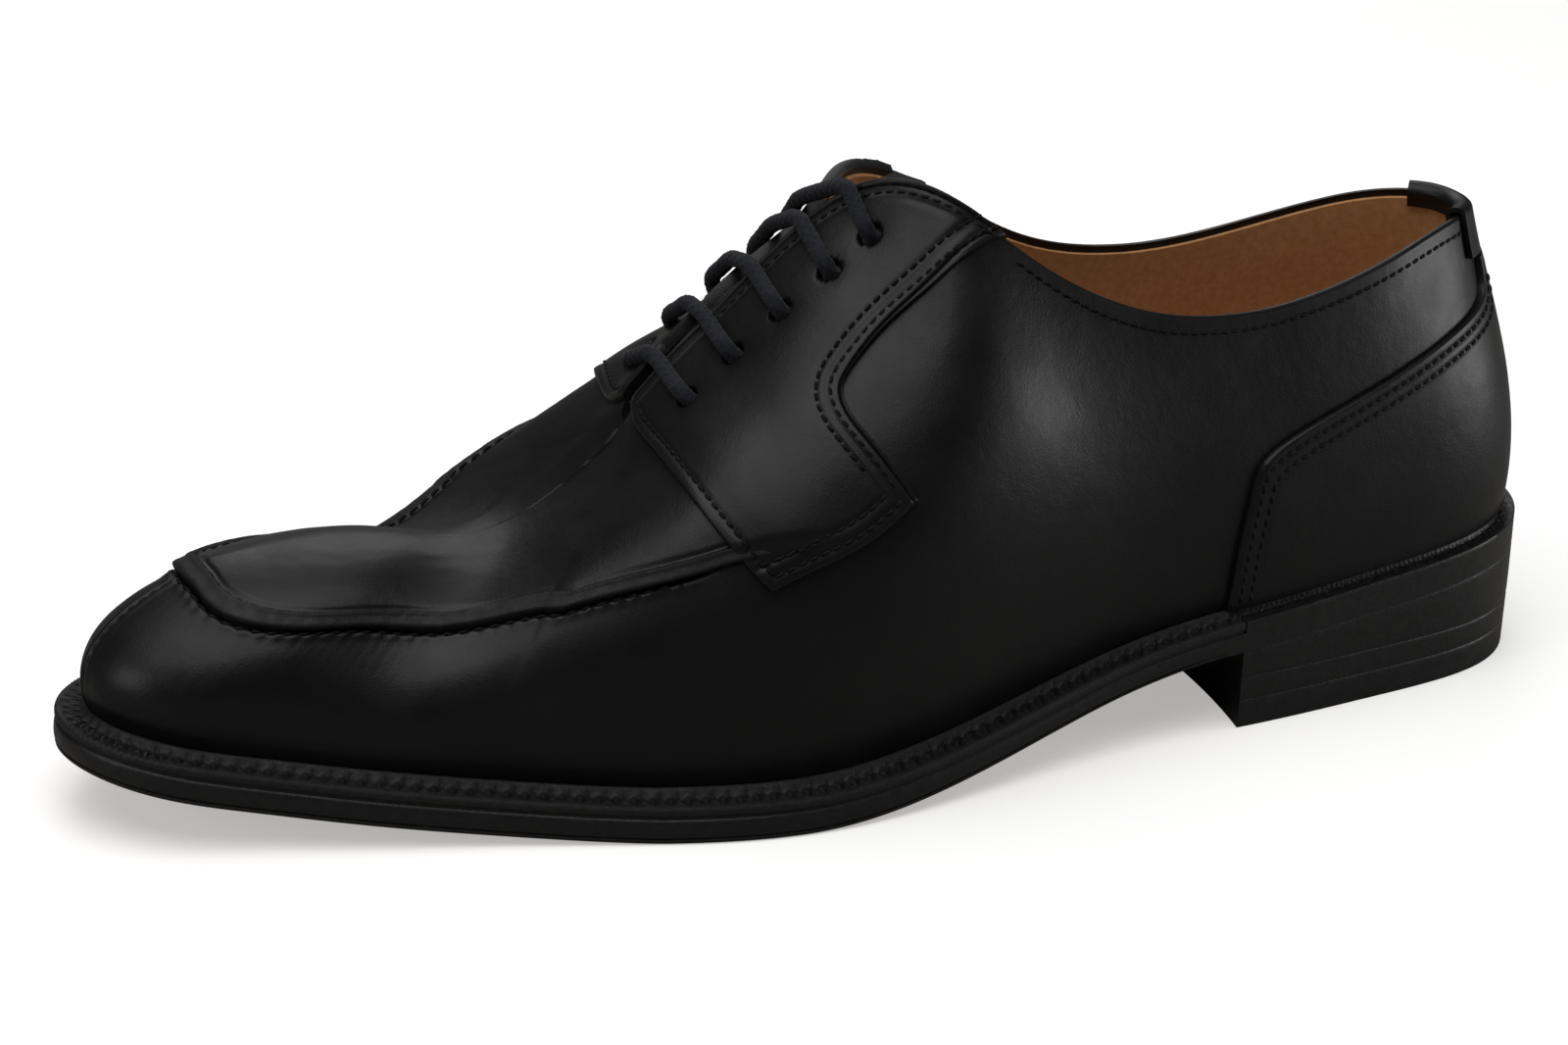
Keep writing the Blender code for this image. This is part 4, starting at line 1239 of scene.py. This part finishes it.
def build_welt(kind, material, start, end, notch, pitch):
    """The welt or the heel rand, with wheel marks this deep and this far apart."""
    places, step = even_places(start, end, 0.00033)
    ledge = FEATHER(places)[:, 2]
    walked = np.arange(len(places)) * step
    across = np.concatenate((np.linspace(0, 0.80, 20), (0.85, 0.92, 0.97, 1.0)))
    inside = -0.0015
    outs = inside + (ledge[:, None] - inside) * across[None, :]
    flat = sole_top(plan_point(places[:, None], outs)[..., 0]) + FIT_GAP + WELT_THICK
    forward = float(kind == "welt")
    part = np.clip(outs / ledge[:, None], 0, 1)
    crown = WELT_CROWN * (1 - smooth_step(part / 0.28))
    height = flat + crown
    # Zigzag wheel marks between the upper and the smooth rim, radial ones at the toe.
    band = smooth_step((part - 0.08) / 0.06) * smooth_step((0.80 - part) / 0.05)
    phase = walked[:, None] / pitch
    across_band = (part - 0.12) / 0.62
    zigzag = np.abs((phase % 1.0) - 0.5) * 2
    line = np.abs(across_band - zigzag)
    groove = np.exp(-((line / 0.16) ** 2))
    pads = 0.35 * np.cos(4 * np.pi * phase) * np.sin(np.pi * np.clip(across_band, 0, 1))
    height = height - notch * band * (groove - pads)
    at_toe = smooth_step((rib_of(places)[:, None] - 12.7) / 0.5)
    radial = np.cos(2 * np.pi * walked[:, None] / 0.0014) * smooth_step((part - 0.45) / 0.2)
    height = height - notch * 0.45 * at_toe * smooth_step(radial)
    rough = value_noise(walked[:, None] * 1500, part * 14, 4) - 0.5
    height = height + 0.30 * notch * rough * band
    # The rim turns down over the outer edge, with a fine groove below it.
    height[:, -1] -= 0.0002 + 0.00025 * forward
    height[:, -2] -= 0.00010 * forward
    rim_out = ledge[:, None] + forward * np.array((0.00012, 0.00010, -0.00030, -0.00030))
    rim_high = flat[:, -1:] + np.array((-0.0009, -0.0015, -0.0018, -0.0024))
    back = np.full((len(places), 1), inside)
    outs = np.concatenate((outs, rim_out, back), axis=1)
    heights = np.concatenate((height, rim_high, rim_high[:, -1:]), axis=1)
    piece = ring_piece(kind + "_leather", places, outs, heights, material)
    if kind == "welt":
        return put(piece, "welt_black", "welt")
    return put(piece, "edge_black", "heel_rand")


def build_outsole():
    places = even_places(0.0, AROUND, 0.0012)[0][:-1]
    ledge = FEATHER(places)[:, 2]
    part = np.array((0.0, 0.04, 0.10, 0.18, 0.22, 0.27, 0.36, 0.54, 0.72, 0.86, 0.95, 1.0))
    bulge = np.array(
        (-0.6, -0.25, 0.05, 0.1, -0.22, 0.1, 0.25, 0.3, 0.25, 0.15, 0.0, -0.35)
    )
    forward = smooth_step((plan_point(places, ledge)[:, 0] - HEEL_LENGTH + 0.004) / 0.02)
    outs = ledge[:, None] + 0.001 * bulge * forward[:, None]
    plan = plan_point(places[:, None], outs)
    base = sole_rise(plan[..., 0])
    thick = sole_top(plan[..., 0]) - base + 0.00015
    edge = with_height(plan, base + thick * part)
    half = len(places) // 2
    rows = len(part)
    points = [world(edge).reshape(-1, 3)]
    index = np.arange(edge[..., 0].size).reshape(edge.shape[:2])
    faces = quads(index, True)
    # Bottom and top, in strips across from one side to the other.
    count = len(places)
    for row, flip in ((0, False), (rows - 1, True)):
        first = len(np.concatenate(points))
        columns = 14
        ladder = []
        for one in range(1, half):
            other = count - one
            start, end = edge[one, row], edge[other, row]
            part = np.linspace(0, 1, columns)[1:-1, None]
            middle = start[None, :] * (1 - part) + end[None, :] * part
            middle[:, 2] = (sole_top if flip else sole_rise)(middle[:, 0])
            ids = [int(index[one, row])]
            ids += [first + len(ladder) * (columns - 2) + k for k in range(columns - 2)]
            ids += [int(index[other, row])]
            ladder.append((ids, middle))
        points.append(world(np.concatenate([middle for _, middle in ladder])))
        grid = np.array([ids for ids, _ in ladder])
        inner = quads(grid)
        heel_cap = [int(index[0, row]), *grid[0].tolist()]
        toe_ids = index[half : half + 1 + count % 2, row].tolist()
        toe_cap = list(dict.fromkeys(toe_ids + grid[-1][::-1].tolist()))
        for face in [*inner, heel_cap, toe_cap]:
            faces.append(face[::-1] if flip else face)
    piece = clean_piece("outsole_leather", np.concatenate(points), faces, EDGE, 0.8)
    piece.data.materials.append(SOLE)
    tag_underside(piece)
    return put(piece, "sole_leather", "outsole")


def tag_underside(piece):
    """Gives the sole leather to the faces of the underside, inside the dyed edge."""
    for polygon in piece.data.polygons:
        along = MIDDLE[0] - polygon.center.y
        low = polygon.center.z < float(sole_rise(np.array(along))) + 0.0003
        if low and polygon.normal.z < -0.7:
            polygon.material_index = 1


def build_heel(name, base, top, node_name):
    """One layer of the heel, with a slight groove above and below."""
    side_rows = []
    for side in (1, -1):
        ribs = np.linspace(0, breast_place(side), 60)
        side_rows.append(ribs if side > 0 else mirrored(ribs))
    places = np.concatenate((side_rows[1][::-1][:-1], side_rows[0]))
    ledge = FEATHER(places)[:, 2]
    parts = np.array((0.0, 0.03, 0.10, 0.3, 0.5, 0.7, 0.90, 0.97, 1.0))
    loss = HEEL_GROOVE * np.array((1, 0.3, 0, 0, 0, 0, 0, 0.3, 1))
    edge_plan = plan_point(places, ledge)
    ceiling = sole_rise(edge_plan[:, 0]) if top is None else np.full(len(places), top)
    heights = base + (ceiling[:, None] - base) * parts
    draw_in = HEEL_TAPER * (1 - heights / HEEL_BREAST_RISE)
    outs = ledge[:, None] - np.clip(draw_in, 0, None) - loss
    plan = plan_point(places[:, None], outs)
    ring = with_height(plan, heights)
    # The breast bows between the two corners.
    columns = 16
    share = np.linspace(0, 1, columns)[1:-1, None, None]
    breast = ring[-1][None] * (1 - share) + ring[0][None] * share
    breast[..., 0] -= BREAST_CURVE * 4 * share[..., 0] * (1 - share[..., 0])
    loop = np.concatenate((ring, breast))
    index = np.arange(loop[..., 0].size).reshape(loop.shape[:2])
    faces = quads(index, True)
    points = world(loop).reshape(-1, 3)
    floor_face = index[:, 0].tolist()
    top_face = index[::-1, -1].tolist()
    piece = clean_piece(name, points, faces + [floor_face, top_face], EDGE, 0.6)
    return put(piece, "edge_black", node_name)


def build_insole():
    places = np.linspace(0, AROUND, 241)[:-1]
    half = len(places) // 2
    plan = plan_point(places, -(UPPER_WALL + 0.0002))
    plan[0, 1] = 0.0
    columns = 24
    rows = []
    for one in range(0, half + 1):
        start, end = plan[one], plan[-one]
        part = np.linspace(0, 1, columns)[:, None]
        rows.append(start * (1 - part) + end * part)
    grid = np.array(rows)
    dish = 0.0012 * (1 - (np.linspace(-1, 1, columns)[None, :]) ** 2)
    wave = 0.0003 * (value_noise(grid[..., 0] * 60, grid[..., 1] * 60, 21) - 0.5)
    top = feather_height(grid[..., 0]) + UPPER_WALL + FIT_GAP + INSOLE_THICK
    high = with_height(grid, top - dish + wave)
    low = with_height(grid, top - INSOLE_THICK)

    def weld(index):
        index = index.copy()
        index[0] = index[0, 0]
        index[-1] = index[-1, 0]
        return index

    piece = shell("sock_and_insole", high, low, SOCK, False, weld, 0.8)
    return put(piece, "lining_tan", "insole")


def build_tongue():
    places = np.linspace(TONGUE_TOP_PLACE, TONGUE_FRONT_PLACE, 60)
    table = np.array(TONGUE_ROWS)
    shares = np.linspace(table[0, 0], 1.0, 26)
    depths = np.interp(shares, table[:, 0], table[:, 1])
    free = smooth_step((TONGUE_FRONT_PLACE - 0.25 - places) / 0.7)[:, None]

    def sheet(extra):
        depth = TONGUE_SEAT_DEPTH + (depths - TONGUE_SEAT_DEPTH) * free + extra
        outer = lifted(places[:, None], shares, -depth)
        inner = lifted(mirrored(places)[:, None], shares[::-1], -depth[:, ::-1])
        middle = (outer[:, -1:] + inner[:, :1]) / 2
        joined = np.concatenate((outer[:, :-1], middle, inner[:, 1:]), axis=1)
        upward = joined[0] - joined[2]
        upward /= np.linalg.norm(upward, axis=-1, keepdims=True)
        steps = np.linspace(1, 0, 8, endpoint=False)[:, None, None]
        round_off = 1 - 0.35 * np.linspace(-1, 1, joined.shape[1]) ** 4
        reach = TONGUE_REACH * round_off[None, :, None]
        extended = joined[0][None] + upward[None] * reach * steps
        return np.concatenate((extended, joined))

    piece = shell("tongue_leather", sheet(0.0), sheet(TONGUE_THICK), CALF, False, None, 0.8)
    return put(piece, "calf_black", "tongue")


def build_collar_tab():
    places = np.linspace(-TAB_PLACE, TAB_PLACE, 61)
    drop = COLLAR_TAB_DROP / length_at(places)
    outside = np.linspace(1, 0, 14)
    turn = np.linspace(0, np.pi, 11)
    rise = UPPER_WALL / 2 + 0.0002
    top = rib_point(places, 1.0)
    upward = top - rib_point(places, 0.97)
    upward /= np.linalg.norm(upward, axis=-1, keepdims=True)

    def sheet(thick):
        rows = []
        for share in outside:
            rows.append(lifted(places, 1 - drop * share, thick))
        centre = -UPPER_WALL / 2
        for angle in turn[1:-1]:
            out = centre + (UPPER_WALL / 2 + thick) * np.cos(angle)
            up = (rise * 0.5 + thick) * np.sin(angle)
            rows.append(lifted(places, np.ones(len(places)), out) + upward * up)
        for share in outside[::-1]:
            rows.append(lifted(places, 1 - 0.3 * drop * share, -UPPER_WALL - thick))
        return np.transpose(np.array(rows), (1, 0, 2))

    piece = shell("collar_tab_leather", sheet(TAB_LIFT), sheet(0.0002), CALF, False, None, 0.8)
    return put(piece, "calf_black", "collar_tab")


# Laces.
def soften(points, rounds):
    """Corner cutting, which turns a polyline into a smooth one."""
    for _ in range(rounds):
        near = points[:-1] * 0.75 + points[1:] * 0.25
        far = points[:-1] * 0.25 + points[1:] * 0.75
        middle = np.stack((near, far), 1).reshape(-1, 3)
        points = np.concatenate((points[:1], middle, points[-1:]))
    return points


def resample(points, step):
    run = np.linalg.norm(np.diff(points, axis=0), axis=1)
    walked = np.concatenate(([0], np.cumsum(run)))
    count = max(int(walked[-1] / step), 2)
    at = np.linspace(0, walked[-1], count)
    return np.stack([np.interp(at, walked, points[:, axis]) for axis in range(3)], -1), at


def bar_point(number, side, part, lift):
    """A point on the way from an eyelet (0) to the throat edge (1), square to the throat."""
    place, share = eyelet(number, side)
    along = rib_point(*eyelet(number, 1))[0]
    at = share + part * (1 - share)
    near = place + np.linspace(-1.6, 1.6, 161)
    alongs = rib_point(near, np.full(161, at))[:, 0]
    order = np.argsort(alongs)
    return skin(float(np.interp(along, alongs[order], near[order])), at, lift)


def bar_route(number):
    """One bar: out of a hole, over both throat edges and into the other hole."""
    over = SEAM_LIFT + LACE_RADIUS * 0.97
    halves = []
    # The far half stands a little proud, so that the bar runs on straight.
    for side, proud in ((1, 0.0), (-1, 0.0008)):
        steps = (
            (-0.06, -0.0050),
            (-0.05, -0.0016),
            (-0.02, 0.0016),
            (0.10, over + 0.0004),
            (0.30, over + 0.0002 + proud),
            (0.65, over - 0.0001 + proud),
            (1.0, over - 0.0002 + proud),
        )
        halves.append([bar_point(number, side, part, lift) for part, lift in steps])
    middle = (halves[0][-1] + halves[1][-1]) / 2
    return world(np.array(halves[0] + [middle] + halves[1][::-1]))


def braided_tube(route, radius, sides=28):
    """Points and faces of a round braid along a route."""
    path, walked = resample(soften(route, 3), 0.00028)
    way = np.gradient(path, axis=0)
    way /= np.linalg.norm(way, axis=1, keepdims=True)
    normal = np.cross(way[0], (0, 0, 1.0))
    normal /= np.linalg.norm(normal)
    frames = []
    for direction in way:
        normal = normal - direction * (normal @ direction)
        normal /= np.linalg.norm(normal)
        frames.append((normal, np.cross(direction, normal)))
    angle = np.linspace(0, 2 * np.pi, sides, endpoint=False)
    turn = 2 * np.pi * walked[:, None] / BRAID_PITCH
    one = np.cos(BRAID_CARRIERS * (angle + turn))
    two = np.cos(BRAID_CARRIERS * (angle - turn))
    over = np.sign(np.sin(BRAID_CARRIERS * angle)) * np.sign(np.sin(BRAID_CARRIERS * turn))
    blend = 0.5 + 0.5 * over
    height = blend * np.abs(one) + (1 - blend) * np.abs(two)
    reach = radius * (0.80 + 0.26 * height)
    first = np.array([f[0] for f in frames])[:, None, :]
    second = np.array([f[1] for f in frames])[:, None, :]
    ring = first * np.cos(angle)[None, :, None] + second * np.sin(angle)[None, :, None]
    points = path[:, None] + ring * reach[..., None]
    index = np.arange(points[..., 0].size).reshape(points.shape[:2])
    wrapped = np.concatenate((index, index[:, :1]), axis=1)
    faces = quads(wrapped)
    faces.append(index[0][::-1].tolist())
    faces.append(index[-1].tolist())
    return points.reshape(-1, 3), faces


def join_parts(parts):
    points, faces, count = [], [], 0
    for own, own_faces in parts:
        points.append(own)
        faces += [[corner + count for corner in face] for face in own_faces]
        count += len(own)
    return np.concatenate(points), faces


def build_laces():
    parts = [braided_tube(bar_route(number), LACE_RADIUS) for number in range(len(EYELET_ROWS))]
    points, faces = join_parts(parts)
    piece = clean_piece("lace_braid", points, faces, LACE, 1.2)
    return put(piece, "lace_navy", "laces")


# Stitches.
def stitch_template():
    """A short thread, bent down at its ends, along X with Z up, one unit long."""
    rings, sides = 9, 8
    along = np.linspace(-0.5, 0.5, rings)
    angle = np.linspace(0, 2 * np.pi, sides, endpoint=False)
    drop = -1.4 * np.abs(2 * along) ** 3
    thick = 0.55 + 0.45 * np.sqrt(np.clip(1 - (2 * along) ** 4, 0, 1))
    points = []
    for x, z, size in zip(along, drop, thick):
        points.append(
            np.stack(
                (np.full(sides, x), size * np.cos(angle), z + size * np.sin(angle)), -1
            )
        )
    index = np.arange(rings * sides).reshape(rings, sides)
    wrapped = np.concatenate((index, index[:, :1]), axis=1)
    faces = quads(wrapped)
    faces.append(index[0][::-1].tolist())
    faces.append(index[-1].tolist())
    return np.array(points).reshape(-1, 3), faces


TEMPLATE, TEMPLATE_FACES = stitch_template()


def stitch_row(places, shares, lift, pitch=STITCH_PITCH, radius=STITCH_RADIUS, gap=0.14):
    """Stitches along a line of places and shares on the surface."""
    line = world(skin(places, shares, lift))
    ways = world_way(surface_normal(places, shares))
    run = np.linalg.norm(np.diff(line, axis=0), axis=1)
    walked = np.concatenate(([0], np.cumsum(run)))
    count = max(int(round(walked[-1] / pitch)), 1)
    at = (np.arange(count) + 0.5) * walked[-1] / count

    def pick(values, where):
        return np.stack([np.interp(where, walked, column) for column in values.T], -1)

    centre, normal = pick(line, at), pick(ways, at)
    start, end = pick(line, at - pitch * 0.3), pick(line, at + pitch * 0.3)
    tangent = end - start
    tangent /= np.linalg.norm(tangent, axis=1, keepdims=True)
    normal -= tangent * np.sum(normal * tangent, axis=1, keepdims=True)
    normal /= np.linalg.norm(normal, axis=1, keepdims=True)
    cross = np.cross(normal, tangent)
    long_way = tangent * np.cos(STITCH_SLANT) + cross * np.sin(STITCH_SLANT)
    wide_way = -tangent * np.sin(STITCH_SLANT) + cross * np.cos(STITCH_SLANT)
    length = walked[-1] / count * (1 - gap)
    parts = []
    for number in range(count):
        wobble = 1 + 0.12 * (CHANCE.random() - 0.5)
        points = (
            centre[number]
            + TEMPLATE[:, :1] * long_way[number] * length * wobble
            + TEMPLATE[:, 1:2] * wide_way[number] * radius
            + TEMPLATE[:, 2:] * normal[number] * radius
        )
        parts.append((points, TEMPLATE_FACES))
    return parts


def inset_line(points_ps, inset, side_sign):
    """Moves a line of (place, share) sideways by metres, on the surface."""
    points_ps = np.asarray(points_ps, float)
    flat = rib_point(points_ps[:, 0], points_ps[:, 1])
    tangent = np.gradient(flat, axis=0)
    tangent /= np.linalg.norm(tangent, axis=1, keepdims=True)
    normal = surface_normal(points_ps[:, 0], points_ps[:, 1])
    sideways = np.cross(normal, tangent) * side_sign
    step = 0.01
    places, shares = points_ps.T
    by_place = (rib_point(places + step, shares) - rib_point(places - step, shares)) / (2 * step)
    higher, lower = np.clip(shares + step, 0, 1), np.clip(shares - step, 0, 1)
    by_share = rib_point(places, higher) - rib_point(places, lower)
    by_share /= (higher - lower)[:, None]
    moved = []
    for row in range(len(points_ps)):
        basis = np.stack((by_place[row], by_share[row]), -1)
        change = np.linalg.lstsq(basis, sideways[row] * inset, rcond=None)[0]
        moved.append(points_ps[row] + change)
    return np.array(moved)


def build_stitches():
    parts = []
    lift = SEAM_LIFT - 0.00008
    for side in (1, -1):

        def row(points_ps, inset, sign, trim=(0, None), high=False):
            line = inset_line(points_ps, inset, sign)[trim[0] : trim[1]]
            shares = np.clip(line[:, 1], 0, 1)
            on_apron = smooth_step((shares - seam_share(line[:, 0]) + 0.01) / 0.05)
            lifts = lift + FACING_STEP * on_apron * high
            return stitch_row(side_of(line[:, 0], side), shares, lifts)

        fine = np.linspace(0, 1, 120)
        front = open_spline(FACING_FRONT_ROWS)(fine)
        back = open_spline(FACING_BACK_ROWS)(fine)
        foot = open_spline(FACING_FOOT_ROWS)(fine)
        parts += row(front, 0.0024, -1, trim=(6, -5), high=True)
        parts += row(back, 0.0022, 1, trim=(5, -4))
        parts += row(back, 0.0048, 1, trim=(12, -8))
        parts += row(foot, 0.0022, 1, trim=(7, -7))
        parts += row(foot, 0.0048, 1, trim=(14, -12))
        # Throat edge and top edge.
        throat = np.stack((np.linspace(9.85, 7.65, 120), np.full(120, 0.999)), -1)
        edge = np.stack((throat[:, 0], 1 - 0.0024 / length_at(throat[:, 0])), -1)
        parts += stitch_row(side_of(edge[:, 0], side), edge[:, 1], lift)
        top = np.stack((np.linspace(7.65, 6.45, 60), np.full(60, 1.0)), -1)
        top[:, 1] = 1 - 0.0024 / length_at(top[:, 0])
        parts += stitch_row(side_of(top[:, 0], side), top[:, 1], lift)
        # Collar.
        collar = np.linspace(6.2, 1.3, 200)
        shares = 1 - 0.0030 / length_at(collar)
        parts += stitch_row(side_of(collar, side), shares, 0.0001)
        # Counter, two rows.
        table = counter_line()
        up = np.linspace(0.02, 0.80, 200)
        line = np.stack((np.interp(up, table[:, 0], table[:, 1]), up), -1)
        for inset in ROW_INSETS:
            parts += row(line, inset, -1)
        # Bar.
        for offset in (0.0, 0.0026):
            bar = np.stack((np.linspace(8.43, 8.03, 30), np.linspace(0.43, 0.452, 30)), -1)
            parts += row(bar, offset, -1)
    points, faces = join_parts(parts)
    piece = clean_piece("stitches", points, faces, THREAD, 1.2)
    return put(piece, "calf_black")


def build_seam_stitches():
    parts = []
    for side in (1, -1):
        ribs = np.linspace(9.0, 13.98, 300)
        seam = seam_share(ribs)
        away = 0.0034 / length_at(ribs)
        parts += stitch_row(side_of(ribs, side), seam + away, SEAM_LIFT - 0.0001, pitch=0.0030)
        low = 0.0010 / length_at(ribs)
        parts += stitch_row(
            side_of(ribs, side), seam - low, 0.00025, pitch=0.0029, radius=0.00030, gap=0.25
        )
    shares = np.linspace(0.80, 0.03, 120)
    parts += stitch_row(np.full(120, float(TOE)), shares, -0.0002, pitch=0.0024)
    points, faces = join_parts(parts)
    piece = clean_piece("seam_stitches", points, faces, THREAD, 1.2)
    return put(piece, "calf_black")


add_camera()
add_stage()
for light_row in LIGHT_ROWS:
    add_light(*light_row)
build_upper()
build_lining()
build_apron()
build_facing("facing_outer", 1)
build_facing("facing_inner", -1)
build_counter()
OUTER_BREAST, INNER_BREAST = breast_place(1), breast_place(-1)
build_welt("welt", WELT, OUTER_BREAST, AROUND - INNER_BREAST, WELT_NOTCH, WELT_PITCH)
build_welt("rand", EDGE, 0.01 - INNER_BREAST, OUTER_BREAST - 0.01, RAND_NOTCH, RAND_PITCH)
build_outsole()
LIFT_BASE = TOP_PIECE_THICK + FIT_GAP
WEDGE_BASE = LIFT_BASE + HEEL_LIFT_THICK + FIT_GAP
build_heel("top_piece_leather", 0.0, LIFT_BASE, "heel_top_piece")
build_heel("lift_low_leather", LIFT_BASE, WEDGE_BASE, "heel_lift_2")
build_heel("lift_high_leather", WEDGE_BASE, None, "heel_lift_1")
build_insole()
build_tongue()
build_collar_tab()
build_laces()
build_stitches()
build_seam_stitches()

bpy.context.scene.view_settings.view_transform = "Standard"
